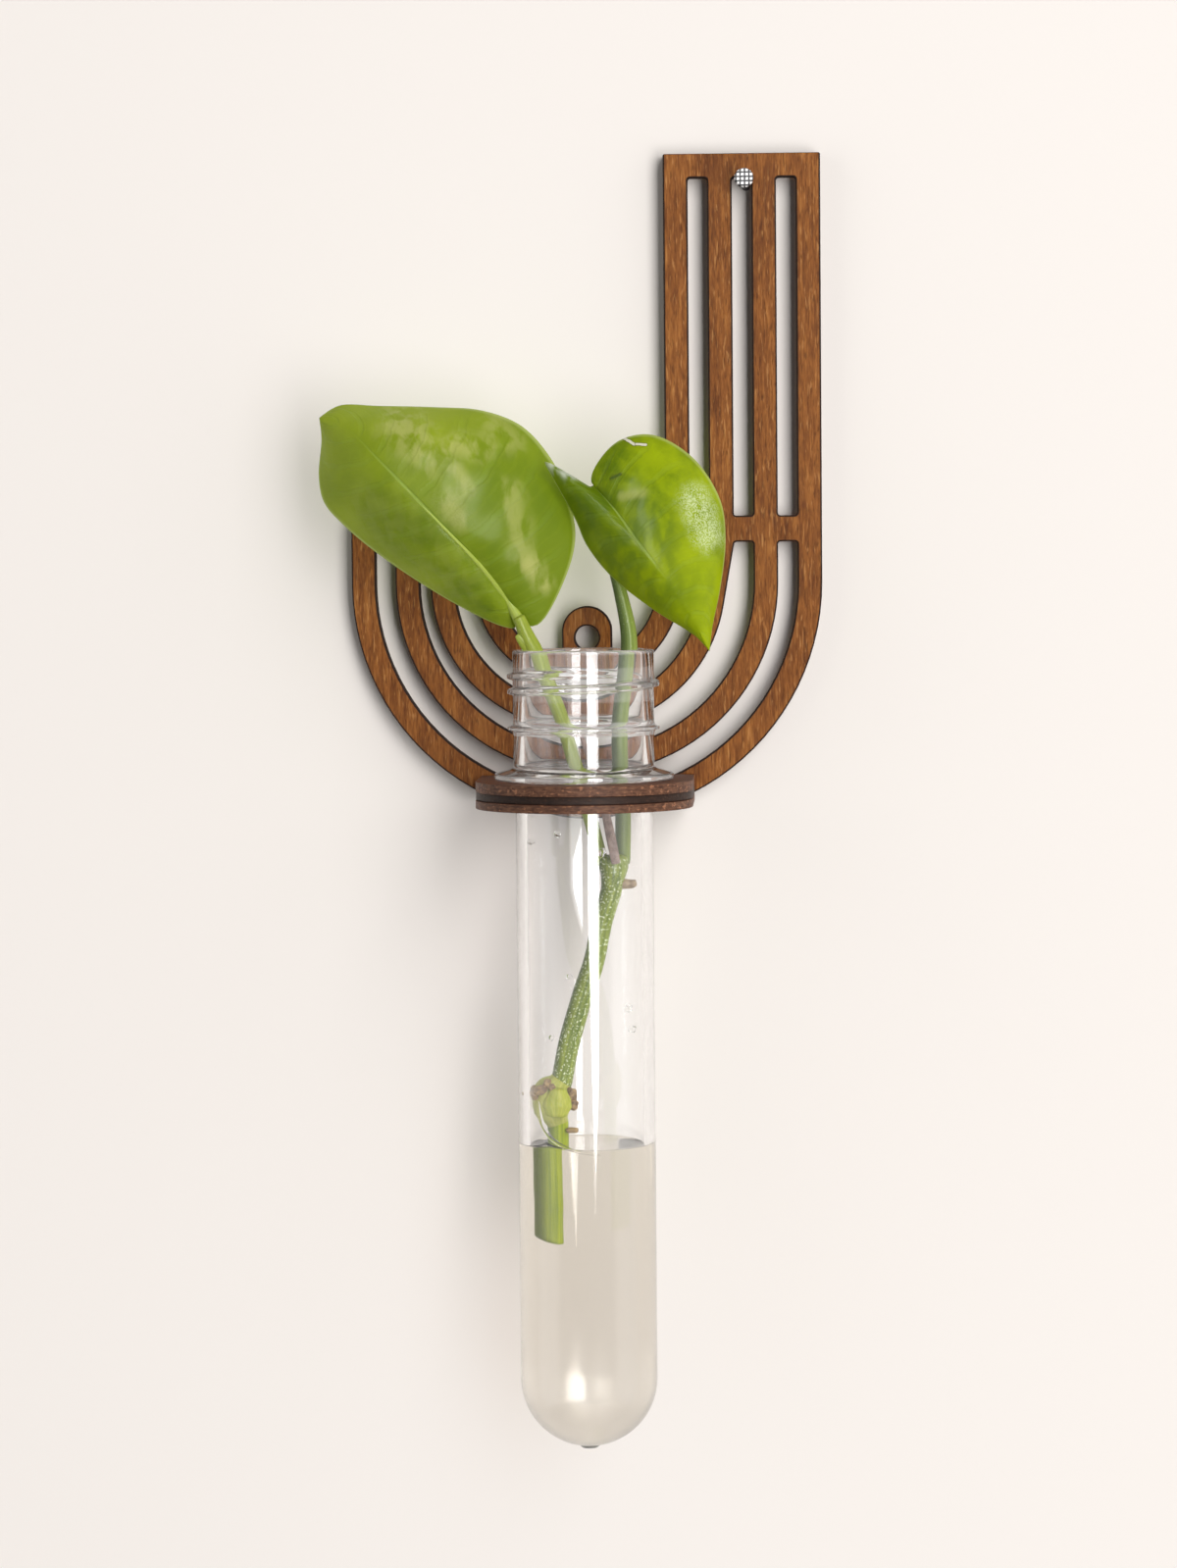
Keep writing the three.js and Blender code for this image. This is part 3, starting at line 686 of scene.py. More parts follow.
def way(radius, span, stations):
    """A stem's way in the bore between two drops below the rim."""
    start, end = span
    reach = BODY_BORE - JOINT_GAP - radius
    points = []
    for part, right, back in stations:
        drop = start + (end - start) * part
        points.append(Vector((TUBE_X + right * reach, TUBE_Y + back * reach, RIM - drop)))
    return points


END_TURNS = (0.25, 0.5, 0.75, 0.97)
END_BULGE = 0.35
SMALLEST_END = 0.03
TILT_RUN = 0.2
LOOK_AHEAD = 0.01


def lofted(points, widths, depths=None, sides=28, rings=60, relief=None, run_in=0.0, run_out=0.0, tilt=0.0):
    """Sections along a smooth line, closed by round ends. run_in and run_out carry the ends further."""
    line = SmoothLine(points)
    depths = depths or widths
    vertices = []
    faces = []
    coords = []
    steps = []
    for ring in range(rings + 1):
        share = ring / rings
        centre = line.at(share)
        ahead = line.at(min(share + LOOK_AHEAD, 1.0))
        behind = line.at(max(share - LOOK_AHEAD, 0.0))
        steps.append((share, centre, (ahead - behind).normalized(), 1.0))
    first, last = steps[0], steps[-1]
    for end, amount, sign in ((first, run_in, -1), (last, run_out, 1)):
        share, centre, along = end[:3]
        extra = []
        for turn in END_TURNS:
            out = amount + between(widths, share) * END_BULGE * math.sin(turn * math.pi / 2)
            size = max(math.cos(turn * math.pi / 2), SMALLEST_END)
            extra.append((share, centre + along * sign * out, along, size))
        steps = extra[::-1] + steps if sign < 0 else steps + extra
    for share, centre, along, size in steps:
        across = WALLWARD.cross(along).normalized()
        out = along.cross(across)
        width = between(widths, share) * size
        depth = between(depths, share) * size
        for side in range(sides):
            angle = math.tau * side / sides
            swell = 1 + (relief(angle, share) if relief else 0.0)
            point = centre + across * (width * swell * math.cos(angle))
            point += out * (depth * swell * math.sin(angle))
            point -= along * (tilt * width * math.cos(angle) * (1 - smooth_step(0, TILT_RUN, share)))
            vertices.append(point)
            coords.append((side / sides, share))
    for ring in range(len(steps) - 1):
        for side in range(sides):
            after = (side + 1) % sides
            a, b = ring * sides + side, ring * sides + after
            faces.append((a, b, b + sides, a + sides))
    top = (len(steps) - 1) * sides
    faces.append(tuple(range(sides - 1, -1, -1)))
    faces.append(tuple(range(top, top + sides)))
    return vertices, faces, coords


WANDER_PACE = 5
WANDER_DEPTH = 0.035


def ridges(count, depth, twist=0.0, seed=0.0):
    """Shallow lengthwise ridges with a slow wander, as on a soft stem."""
    def relief(angle, share):
        wander = noise.noise(Vector((math.cos(angle) + seed, math.sin(angle), share * WANDER_PACE)))
        return depth * math.cos(count * (angle + twist * share)) + WANDER_DEPTH * wander
    return relief


def blade(name, base, length, midrib, margins, bulge, finish, node, rows=90, columns=18):
    """A leaf blade: two halves ruled from the midrib to the margins, with a soft bulge and waves."""
    def line_of(shares):
        return SmoothLine([base + Vector(share) * length for share in shares])

    rib = line_of(midrib)
    edges = [line_of(margin) for margin in margins]
    front = []
    back = []
    vertices = []
    coords = []

    def push(point, offset, uv):
        vertices.append(point + WALLWARD * offset)
        coords.append(uv)
        return len(vertices) - 1

    for row in range(rows + 1):
        s = row / rows
        centre = rib.along(s)
        ends = [edge.along(s) for edge in edges]
        front_row = []
        back_row = []
        for column in range(-columns, columns + 1):
            t = abs(column) / columns
            end = ends[0 if column < 0 else 1]
            point = centre.lerp(end, t)
            point.y = centre.y + (end.y - centre.y) * t ** LEAF_ROUNDING
            swell = math.sin(math.pi * t) * math.sin(math.pi * s)
            point.y -= bulge * swell
            vein = math.sin((s * VEIN_WAVES - t * VEIN_SWEEP) * math.tau)
            shallow = smooth_step(0.03, 0.3, t) * (1 - smooth_step(0.7, 1.0, t)) * math.sin(math.pi * s)
            point.y -= VEIN_HEIGHT * vein * shallow
            half = LEAF_THICKNESS / 2 * (1 - LEAF_THINNING * smooth_step(0.5, 1.0, t))
            rib_back = RIB_BACK * (1 - s) * (1 - smooth_step(0.0, 0.12, t))
            uv = (0.5 + 0.5 * column / columns, s)
            front_row.append(push(point, -half, uv))
            back_row.append(push(point, half + rib_back, uv))
        front.append(front_row)
        back.append(back_row)
    faces = []
    for row in range(rows):
        for column in range(2 * columns):
            a, b = front[row][column], front[row][column + 1]
            c, d = front[row + 1][column + 1], front[row + 1][column]
            faces.append((a, b, c, d))
            a, b = back[row][column], back[row][column + 1]
            c, d = back[row + 1][column + 1], back[row + 1][column]
            faces.append((a, d, c, b))
        for column, turn in ((0, 1), (2 * columns, -1)):
            rim = (front[row][column], front[row + 1][column], back[row + 1][column], back[row][column])
            faces.append(rim[::turn])
    piece = make_piece(name, vertices, faces, finish, "cutting", [node], coords)
    work = bmesh.new()
    work.from_mesh(piece.data)
    bmesh.ops.remove_doubles(work, verts=work.verts, dist=2 * WELD)
    bmesh.ops.dissolve_degenerate(work, edges=work.edges, dist=WELD)
    bmesh.ops.recalc_face_normals(work, faces=work.faces)
    work.to_mesh(piece.data)
    work.free()


def stem_finish(name, dark, light, shade_side=None, spots=0.3, gloss=0.3, coat=0.15, side_end=(0.76, 0.70),
                many=0.0):
    """Soft green stem skin with lengthwise streaks, one side painted darker as shade, and pale specks."""
    f = Finish(name)
    uv = f.coords("UV")
    streak = f.noise(1, f.stretched((26, 1.2, 1), uv), 3, 0.6)
    blotch = f.noise(420, detail=3)
    speck = f.noise(2600, detail=1).band(0.64 - many, 0.72 - many)
    colour = f.mix(streak.band(0.3, 0.7) * 0.7 + blotch * 0.3, dark, light)
    # Painted shade: one side of the stem darkened as the side turned from the light
    if shade_side:
        about = f.part(uv, "X")
        side = about.band(0.36, 0.42) * about.band(*side_end)
        colour = f.mix(side * 0.85, colour, shade_side)
    colour = f.mix(speck * spots, colour, rgb(224, 232, 196))
    normal = f.bump(streak + blotch * 0.5, 0.0001, 0.4)
    return f.done(f.surface(
        Base_Color=colour, Roughness=gloss + blotch * 0.15, Normal=normal, Specular_IOR_Level=0.15,
        Coat_Weight=coat, Coat_Roughness=0.1,
        Subsurface_Weight=0.12, Subsurface_Radius=(0.002, 0.003, 0.0008), Subsurface_Scale=0.4,
    ))


def brown_finish(name, dark, light, scale=900):
    """Dry papery brown skin."""
    f = Finish(name)
    patch = f.noise(scale, detail=5)
    grain = f.noise(1, f.stretched((3000, 3000, 500)), 3)
    colour = f.mix(patch.band(0.3, 0.7), dark, light)
    normal = f.bump(patch + grain, 0.0002, 0.6)
    return f.done(f.surface(Base_Color=colour, Roughness=0.55 + patch * 0.2, Normal=normal))


LEAF_ROUGHNESS = 0.32
LEAF_GLOW = 0.34
LEAF_LETS_THROUGH = 0.72


def leaf_finish(name, greens, vein_count, shade_left_half, tip_light, rib_end, marks, painted_light_patches, coat):
    """A glossy blade: midrib, side veins that sweep to the tip, mottled green, one half painted darker as
    shade, and a thin pale rim.

    Marks are torn or dark places, each with a brown edge. Painted light patches are broad patches of painted
    highlight and painted shade laid into the colour."""
    deep, mid, bright = greens
    f = Finish(name)
    uv = f.coords("UV")
    across = (f.part(uv, "X") * 2 - 1).size()
    along = f.part(uv, "Y")
    wander = f.noise(260, detail=3)
    sweep = (along - across ** 1.25 * 0.17) * vein_count + wander * 0.35
    vein = (sweep * math.tau).wave().band(0.86, 1.0) * across.band(0.0, 0.12) * across.band(1.0, 0.7)
    fine = (sweep * (3 * math.tau)).wave().band(0.7, 1.0) * across.band(1.0, 0.8)
    rib_width = 0.028 - along * 0.022
    rib = (across - rib_width).band(0.010, -0.008) * along.band(rib_end, rib_end * 0.6)
    rim = across.band(0.965, 0.99)
    mottle = f.noise(150, detail=4, rough=0.6)
    cloud = f.noise(48, detail=2)
    is_back = f.part(f.node("NewGeometry", output="Normal"), "Y").band(-0.15, 0.15)
    colour = f.mix(mottle.band(0.35, 0.65), deep, mid)
    colour = f.mix(cloud.band(0.42, 0.66) * 0.6, colour, bright)
    side = f.part(uv, "X")
    # Painted shade: one half of the blade, towards its base, is darkened as if turned away from the light
    painted_half_shade = side.band(0.8, 0.25) if shade_left_half else side.band(0.2, 0.75)
    colour = f.mix(painted_half_shade * along.band(0.8, 0.35) * 0.75, colour, deep)
    colour = f.mix(along.band(0.35, 1.0) * tip_light, colour, bright)
    colour = f.mix(fine * 0.06, colour, bright)
    colour = f.mix(vein * 0.10, colour, rgb(168, 196, 84))
    colour = f.mix(is_back * 0.45, colour, rgb(158, 184, 92))
    colour = f.mix(rib * 0.6, colour, rgb(170, 195, 90))
    colour = f.mix(rim * 0.7, colour, rgb(196, 208, 122))
    for start, end, reach, tone in marks:
        spot = f.spot(start, end, reach)
        colour = f.mix(spot.band(1.7, 1.1) * 0.7, colour, rgb(96, 84, 24))
        colour = f.mix(spot.band(1.0, 0.7), colour, tone)
    cells = f.noise(3200, detail=2)
    smear = f.noise(1, f.stretched((430, 430, 170)), 3, 0.5, 0.3)
    # Broad patches of painted highlight and painted shade, broken up by a smear and by fine cells
    for start, end, reach, strength, tone, speckle in painted_light_patches:
        patch = f.spot(start, end, reach, 330).band(1.7, 0.2) * (1 - is_back)
        broken = smear.band(0.36, 0.60) * (1 - speckle) + cells.band(0.44, 0.58) * speckle
        colour = f.mix(patch * broken * strength, colour, tone)
    quilt = f.noise(105, detail=3, rough=0.5)
    height = vein * -0.5 + fine * -0.1 + cells * 0.08 + mottle * 0.5 + quilt * 1.5 - rib * 0.8
    normal = f.bump(height, 0.00022, 0.8)
    skin = f.surface(
        Base_Color=colour, Roughness=LEAF_ROUGHNESS + cells * 0.1, Normal=normal, Specular_IOR_Level=0.08,
        Coat_Weight=coat, Coat_Roughness=0.19,
    )
    glow = f.node("BsdfTranslucent", {}, {"Color": (*rgb(150, 172, 40), 1.0), "Normal": normal})
    leaf = f.node("MixShader", {}, {0: LEAF_GLOW, 1: skin, 2: glow})
    through = f.node("BsdfTransparent")
    in_shadow = f.node("LightPath", output="Is Shadow Ray")
    return f.done(f.node("MixShader", {}, {0: in_shadow * LEAF_LETS_THROUGH, 1: leaf, 2: through}))


# Where each stem starts and ends, in drops below the rim
CUT_SPAN = (106.5, 85.5)
LOWER_NODE_SPAN = (85.2, 78.2)
MAIN_SPAN = (77.9, 43.3)
UPPER_NODE_SPAN = (43.0, 37.6)
LARGE_SPAN = (37.3, -6.2)
SMALL_SPAN = (37.3, -29.2)
SHEATH_SPAN = (15, 38)
# Their ways: share of the span, then right of the axis and behind it, in shares of the free bore
CUT_STEM = [(0, -0.64, 0.1), (0.5, -0.65, 0.1), (1, -0.66, 0.1)]
LOWER_NODE = [(0, -0.88, 0.1), (0.3, -0.98, 0.1), (0.7, -1, 0.1), (1, -0.78, 0.1)]
UPPER_NODE = [(0, 0.64, 0.1), (0.35, 0.67, 0.1), (0.7, 0.69, 0.1), (1, 0.67, 0.1)]
LARGE_PETIOLE = [
    (0, 0.31, 0.12), (0.14, 0.14, 0.14), (0.3, -0.08, 0.14), (0.42, -0.25, 0.12), (0.54, -0.41, 0.1),
    (0.7, -0.7, 0.06), (0.86, -0.99, 0), (0.92, -1.14, -0.04), (1, -1.3, -0.11),
]
SMALL_PETIOLE = [
    (0, 0.8, 0.3), (0.11, 0.82, 0.3), (0.25, 0.76, 0.3), (0.36, 0.76, 0.3), (0.49, 0.89, 0.33),
    (0.56, 0.95, 0.35), (0.62, 0.93, 0.42), (0.71, 0.79, 0.5), (0.86, 0.5, 0.35), (1, 0.27, 0.09),
]
MAIN_STEM = [
    (0, -0.56, 0.1), (0.21, -0.38, 0.1), (0.42, -0.12, 0.1), (0.63, 0.18, 0.1), (0.84, 0.37, 0.1),
    (1, 0.58, 0.1),
]
DRIED_SHEATH = [
    (0, -0.05, -0.1), (0.22, 0.12, -0.11), (0.43, 0.26, -0.12), (0.62, 0.41, -0.14), (0.79, 0.5, -0.18),
    (1, 0.6, -0.25),
]
# Each painted light patch, a painted highlight or painted shade: its ends right of and above the frame's
# origin, reach, strength, colour and speckle
# The colours below are painted light and shade: a painted highlight, a painted shade, a painted glint and a
# painted silvery reflection
PAINTED_SHINE = rgb(208, 206, 130)
PAINTED_SHADE = rgb(70, 98, 30)
PAINTED_GLINT = rgb(226, 238, 184)
PAINTED_SILVER_SHEEN = rgb(206, 212, 196)
LARGE_PAINTED_HIGHLIGHTS = [
    ((-61.6, -44.6), (-56.1, -50.3), 3.6, 0.58, PAINTED_SHINE, 0.0),
    ((-51.5, -48.5), (-46.7, -49.6), 2.2, 0.55, PAINTED_SHINE, 0.0),
    ((-53.3, -58.3), (-50.4, -62.2), 2.2, 0.52, PAINTED_SHINE, 0.2),
    ((-41.9, -57.0), (-39.2, -69.7), 2.2, 0.42, PAINTED_SHINE, 0.0),
    ((-38.0, -70.5), (-35.9, -73.9), 1.8, 0.68, PAINTED_SHINE, 0.1),
    ((-44.9, -44.8), (-41.5, -48.3), 2.4, 0.35, PAINTED_SHINE, 0.0),
    ((-51.2, -53.1), (-48.9, -57.0), 1.4, 0.5, PAINTED_SHINE, 0.1),
    ((-66.0, -60.0), (-52.0, -73.0), 5.0, 0.13, PAINTED_SHINE, 0.0),
]
SMALL_PAINTED_LIGHT_AND_SHADE = [
    ((-18.5, -67.1), (-15.5, -73.4), 4.4, 0.45, PAINTED_SHADE, 0.0),
    ((-27.5, -62.0), (-23.5, -70.5), 4.4, 0.42, PAINTED_SHADE, 0.0),
    ((-8.6, -59.0), (-6.4, -65.5), 2.6, 0.95, PAINTED_GLINT, 0.75),
    ((-17.6, -60.5), (-14.0, -66.0), 3.4, 0.42, PAINTED_SHADE, 0.0),
    ((-21.9, -58.3), (-17.7, -57.6), 0.9, 0.4, PAINTED_SHINE, 0.0),
    ((-34.6, -51.8), (-31.0, -54.2), 1.3, 1.0, PAINTED_SILVER_SHEEN, 0.0),
]
# The slit torn in the small leaf, and its marks: ends, half width and colour
HOLE_X = -21.42
HOLE_Z = -47.67
TORN = rgb(236, 230, 222)
SMALL_MARKS = [
    ((HOLE_X, HOLE_Z), (HOLE_X + 1.9, HOLE_Z - 1.2), 0.3, TORN),
    ((HOLE_X + 2.3, HOLE_Z - 1.15), (HOLE_X + 4.0, HOLE_Z - 1.3), 0.24, TORN),
    ((HOLE_X - 2.2, HOLE_Z - 7.4), (HOLE_X - 0.5, HOLE_Z - 6.6), 0.22, rgb(66, 92, 22)),
]
# Outlines in shares of a leaf's length: right, into the wall and up from its base
LARGE_MIDRIB = [
    (0, 0, 0), (-0.115, -0.082, 0.157), (-0.278, -0.142, 0.334), (-0.48, -0.112, 0.547),
    (-0.588, -0.032, 0.65), (-0.709, 0.068, 0.702),
]
LARGE_MARGINS = [
    [
        (0, 0, 0), (0, 0.006, -0.062), (-0.049, 0.008, -0.057), (-0.225, 0.016, 0.029),
        (-0.471, 0.044, 0.187), (-0.626, 0.068, 0.314), (-0.698, 0.084, 0.398), (-0.716, 0.092, 0.491),
        (-0.704, 0.088, 0.627), (-0.709, 0.068, 0.702),
    ],
    [
        (0, 0, 0), (0.028, -0.002, -0.05), (0.081, -0.004, -0.053), (0.177, 0, 0.104), (0.219, 0.016, 0.265),
        (0.186, 0.032, 0.432), (0.125, 0.044, 0.557), (0.023, 0.058, 0.667), (-0.119, 0.068, 0.723),
        (-0.29, 0.078, 0.737), (-0.496, 0.088, 0.744), (-0.632, 0.088, 0.748), (-0.68, 0.08, 0.725),
        (-0.709, 0.068, 0.702),
    ],
]
SMALL_MIDRIB = [
    (0, 0, 0), (0.105, -0.068, -0.121), (0.24, -0.109, -0.308), (0.443, -0.027, -0.585),
    (0.563, 0.095, -0.821),
]
SMALL_MARGINS = [
    [
        (0, 0, 0), (-0.012, 0, -0.008), (-0.111, -0.011, 0.053), (-0.236, -0.027, 0.117),
        (-0.206, -0.022, 0.052), (-0.09, -0.003, -0.166), (-0.035, 0.008, -0.294), (0.083, 0.022, -0.447),
        (0.289, 0.049, -0.613), (0.496, 0.082, -0.748), (0.563, 0.095, -0.821),
    ],
    [
        (0, 0, 0), (-0.011, 0.005, 0.022), (0.007, 0.025, 0.088), (0.119, 0.068, 0.215),
        (0.286, 0.117, 0.247), (0.485, 0.166, 0.134), (0.619, 0.196, -0.075), (0.644, 0.199, -0.272),
        (0.617, 0.172, -0.51), (0.576, 0.123, -0.709), (0.563, 0.095, -0.821),
    ],
]

# The large leaf's raised rib, in shares of its midrib, and the wing, in steps from its stalk's end
RIB_SHARES = (0.04, 0.1, 0.18, 0.28, 0.4, 0.55)
WING = ((1.9, 0.2, -6.0), (0.3, -0.4, -4.0), (-0.3, -0.5, -3.2))
# The lower node's round lobe: right of the axis, in front of it and below the rim
LOBE = ((-5.1, 2.2, 79.4), (-5.3, 2.6, 83.6))
LOBE_R = 2.4
LOBE_DEPTH = 1.4
# The root leaves the upper node this share of its radius out, sunk in a little, and sags on its way
ROOT_SEAT = 0.8
ROOT_SINK = 0.4
ROOT_RISE = 0.1
ROOT_SAG = Vector((0, 0, -0.15))
# Lumps: right of the axis, in front of it and above the rim, then half width and half height
SCARS = [
    (-9.2, 2.3, -79.7, 1.0, 1.2), (-8.1, 3.0, -79.1, 1.1, 0.9), (-7.0, 2.2, -78.1, 0.8, 0.9),
    (-6.2, 2.6, -78.6, 0.7, 0.6), (-2.7, 0.9, -80.1, 0.9, 1.3), (-2.4, 0.6, -82.1, 0.8, 1.1),
    (-2.7, 0.3, -86.8, 1.2, 0.55),
]
DROPS = [
    (7.4, 7.0, -63.9, 0.62, 0.62), (7.9, 6.4, -67.7, 0.6, 0.66), (-8.6, 5.4, -33.9, 0.5, 0.5),
    (-4.1, 9.2, -32.3, 0.5, 0.55), (-2.4, 9.8, -57.8, 0.5, 0.5), (-5.5, 8.5, -68.9, 0.45, 0.5),
    (3.2, 9.6, -35.6, 0.75, 0.8),
]


def make_stem(name, points, widths, finish, node, slot, **form):
    """A piece of the cutting, lofted along its way. Without a node it is extra detail."""
    vertices, faces, coords = lofted(points, widths, **form)
    make_piece(name, vertices, faces, finish, "cutting", [node] if node else (), coords)


LUMP_GRIT = 1.6
LUMP_DEPTH = 0.45


def make_lumps(name, lumps, finish, body, rings=10, sides=14):
    """Small rough lumps, closed at both ends, as one piece."""
    vertices = []
    faces = []
    for right, ahead, above, wide, high in lumps:
        first = len(vertices)
        for ring in range(rings + 1):
            tilt = math.pi * min(max(ring / rings, SMALLEST_END), 1 - SMALLEST_END)
            for side in range(sides):
                turn = math.tau * side / sides
                flat = math.sin(tilt)
                straight_out = Vector((flat * math.cos(turn), flat * math.sin(turn), math.cos(tilt)))
                rough = noise.noise(straight_out * LUMP_GRIT + Vector((right, above, 0)))
                out = straight_out * (1 + LUMP_DEPTH * rough)
                x, y, z = right + out.x * wide, out.y * wide - ahead, above + out.z * high
                vertices.append((TUBE_X + x, TUBE_Y + y, RIM + z))
        for ring in range(rings):
            for side in range(sides):
                after = (side + 1) % sides
                a, b = first + ring * sides + side, first + ring * sides + after
                faces.append((a, a + sides, b + sides, b))
        faces.append(tuple(first + side for side in range(sides)))
        faces.append(tuple(first + rings * sides + side for side in reversed(range(sides))))
    make_piece(name, vertices, faces, finish, body, ())


def times(radius, shares):
    return [radius * share for share in shares]


def make_lower_stems():
    """The stem from its cut end to the upper node, with the lobe, the scars and the root."""
    # The third colour given to a stem skin is the painted shade of its darker side
    wet_stem = stem_finish("wet_stem", rgb(70, 96, 6), rgb(158, 172, 66), rgb(70, 92, 14), spots=1.0,
                           gloss=0.2, coat=0.3, side_end=(0.72, 0.56), many=0.045)
    sunk_stem = stem_finish("sunk_stem", rgb(112, 134, 0), rgb(176, 188, 8), rgb(88, 108, 0), spots=0.0,
                            gloss=0.3, coat=0.0, side_end=(0.84, 0.56))
    node_skin = stem_finish("node_skin", rgb(152, 162, 54), rgb(196, 196, 100), spots=0.2)
    lobe_skin = stem_finish("lobe_skin", rgb(150, 162, 30), rgb(196, 198, 84), spots=0.1, gloss=0.4,
                            coat=0.08)
    scar_skin = brown_finish("scar_skin", rgb(96, 72, 46), rgb(178, 150, 98), 1300)
    root_skin = brown_finish("root_skin", rgb(120, 96, 68), rgb(178, 158, 122))

    make_stem("cut_stem_skin", way(STEM_R, CUT_SPAN, CUT_STEM), times(STEM_R, [1] * 3), sunk_stem,
              "cut_stem", "stem_green", relief=ridges(7, 0.012), run_out=1.2, tilt=0.35)
    make_stem("lower_node_skin", way(LOWER_NODE_R, LOWER_NODE_SPAN, LOWER_NODE),
              times(LOWER_NODE_R, [0.53, 0.97, 1, 0.56]), node_skin, "lower_node", "node_green",
              relief=ridges(2, 0.04, seed=3), run_in=0.4, run_out=0.2)
    lobe = [Vector((TUBE_X + right, TUBE_Y - ahead, RIM - drop)) for right, ahead, drop in LOBE]
    make_stem("node_lobe", lobe, times(LOBE_R, [0.7, 1, 1.1, 0.8]), lobe_skin, "", "node_green",
              depths=times(LOBE_DEPTH, [0.8, 1, 1, 0.8]), rings=24)
    make_lumps("node_scars", SCARS, scar_skin, "cutting")
    make_stem("main_stem_skin", way(STEM_R, MAIN_SPAN, MAIN_STEM), times(STEM_R, [1] * 6), wet_stem,
              "main_stem", "stem_green", relief=ridges(6, 0.012, 0.6), run_in=1.0, run_out=0.8)
    upper = way(UPPER_NODE_R, UPPER_NODE_SPAN, UPPER_NODE)
    make_stem("upper_node_skin", upper, times(UPPER_NODE_R, [0.72, 0.8, 1, 1]), wet_stem, "upper_node",
              "node_green", depths=times(UPPER_NODE_R, [0.72, 0.8, 0.8, 0.75]),
              relief=ridges(3, 0.02, seed=5))

    root_start = upper[0].lerp(upper[1], 0.5)
    root_start.x += ROOT_SEAT * UPPER_NODE_R - ROOT_SINK
    root_tip = way(ROOT_R, UPPER_NODE_SPAN, [(1, 1, 0.1)])[0]
    root_tip.z = root_start.z + ROOT_RISE
    root_way = [root_start, root_start.lerp(root_tip, 0.7) + ROOT_SAG, root_tip]
    make_stem("root_skin", root_way, times(ROOT_R, [1.1, 0.9, 0.7]), root_skin, "aerial_root", "root_brown",
              relief=ridges(4, 0.05, seed=9), rings=24)


def make_leaves():
    """Both stalks with their leaves, the papery sheath, the raised midrib and the torn wing."""
    leaf_stalk = stem_finish("leaf_stalk", rgb(118, 136, 34), rgb(160, 172, 66), spots=0.1)
    # This stalk's darker side is painted shade
    side_shaded = stem_finish("two_tone_stalk", rgb(100, 122, 42), rgb(142, 156, 76), rgb(68, 88, 38), spots=0.1,
                           side_end=(0.86, 0.62))
    rib_skin = stem_finish("rib_skin", rgb(140, 160, 52), rgb(172, 186, 84), spots=0.05, coat=0.1)
    paper = brown_finish("sheath_paper", rgb(104, 82, 74), rgb(160, 138, 124), 600)
    large_greens = rgb(110, 132, 24), rgb(136, 155, 32), rgb(176, 190, 54)
    small_greens = rgb(98, 122, 6), rgb(150, 169, 8), rgb(182, 198, 16)
    large_leaf = leaf_finish("large_leaf", large_greens, vein_count=10, shade_left_half=False, tip_light=0.6,
                             rib_end=0.9, marks=(), painted_light_patches=LARGE_PAINTED_HIGHLIGHTS, coat=0.15)
    small_leaf = leaf_finish("small_leaf", small_greens, vein_count=9, shade_left_half=True, tip_light=0.55,
                             rib_end=0.6, marks=SMALL_MARKS, painted_light_patches=SMALL_PAINTED_LIGHT_AND_SHADE, coat=0.12)

    large = way(LARGE_R, LARGE_SPAN, LARGE_PETIOLE)
    make_stem("large_stalk", large, times(LARGE_R, [1, 1, 1, 1, 1, 1.08, 1.16, 1.1, 0.85]), leaf_stalk,
              "petiole_large", "stem_green", relief=ridges(3, 0.02), run_in=1.0)
    small = way(SMALL_R, SMALL_SPAN, SMALL_PETIOLE)
    make_stem("small_stalk", small, times(SMALL_R, [1, 1, 1, 1, 1, 1, 0.95, 0.8, 0.6, 0.42]), side_shaded,
              "petiole_small", "stem_green", relief=ridges(2, 0.02), run_in=1.0, rings=80)
    make_stem("sheath_strip", way(SHEATH_R, SHEATH_SPAN, DRIED_SHEATH),
              times(SHEATH_R, [0.5, 0.6, 0.7, 0.9, 1, 1]), paper, "dried_sheath", "sheath_brown",
              depths=[0.2] * 6, relief=ridges(2, 0.08, 4.0, 7), sides=16)

    large_base = large[-1] + Vector((-0.7, 0.7 * LARGE_R + LEAF_GAP, 1.3))
    blade("large_blade", large_base, LARGE_LENGTH, LARGE_MIDRIB, LARGE_MARGINS, LARGE_BULGE, large_leaf,
          "leaf_large")
    midrib = SmoothLine([large_base + Vector(share) * LARGE_LENGTH for share in LARGE_MIDRIB])
    rib_way = [large[-1] + Vector((0.1, 0.25, -0.6))]
    rib_way += [midrib.along(share) - WALLWARD * LEAF_THICKNESS * 0.5 for share in RIB_SHARES]
    make_stem("large_rib", rib_way, [1.05, 0.72, 0.55, 0.45, 0.34, 0.24, 0.1], rib_skin, "", "stem_green",
              depths=[0.9, 0.5, 0.36, 0.28, 0.22, 0.16, 0.06], sides=16)
    wing_way = [large[-1] + Vector(step) for step in WING]
    make_stem("stalk_wing", wing_way, [0.9, 0.8, 0.35], leaf_stalk, "", "stem_green", depths=[0.3, 0.22, 0.1],
              relief=ridges(2, 0.15, 3.0, 4), sides=16, rings=20)
    small_base = small[-1] + Vector((-0.2, -(0.42 * SMALL_R + LEAF_GAP), 0.7))
    blade("small_blade", small_base, SMALL_LENGTH, SMALL_MIDRIB, SMALL_MARGINS, SMALL_BULGE, small_leaf,
          "leaf_small")


# The nail

HATCH = 1250
HEAD_DEPTH = 0.0016
HEAD_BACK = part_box("wall_nail")[0].y + HEAD_DEPTH
HEAD_BLEND = 0.0002


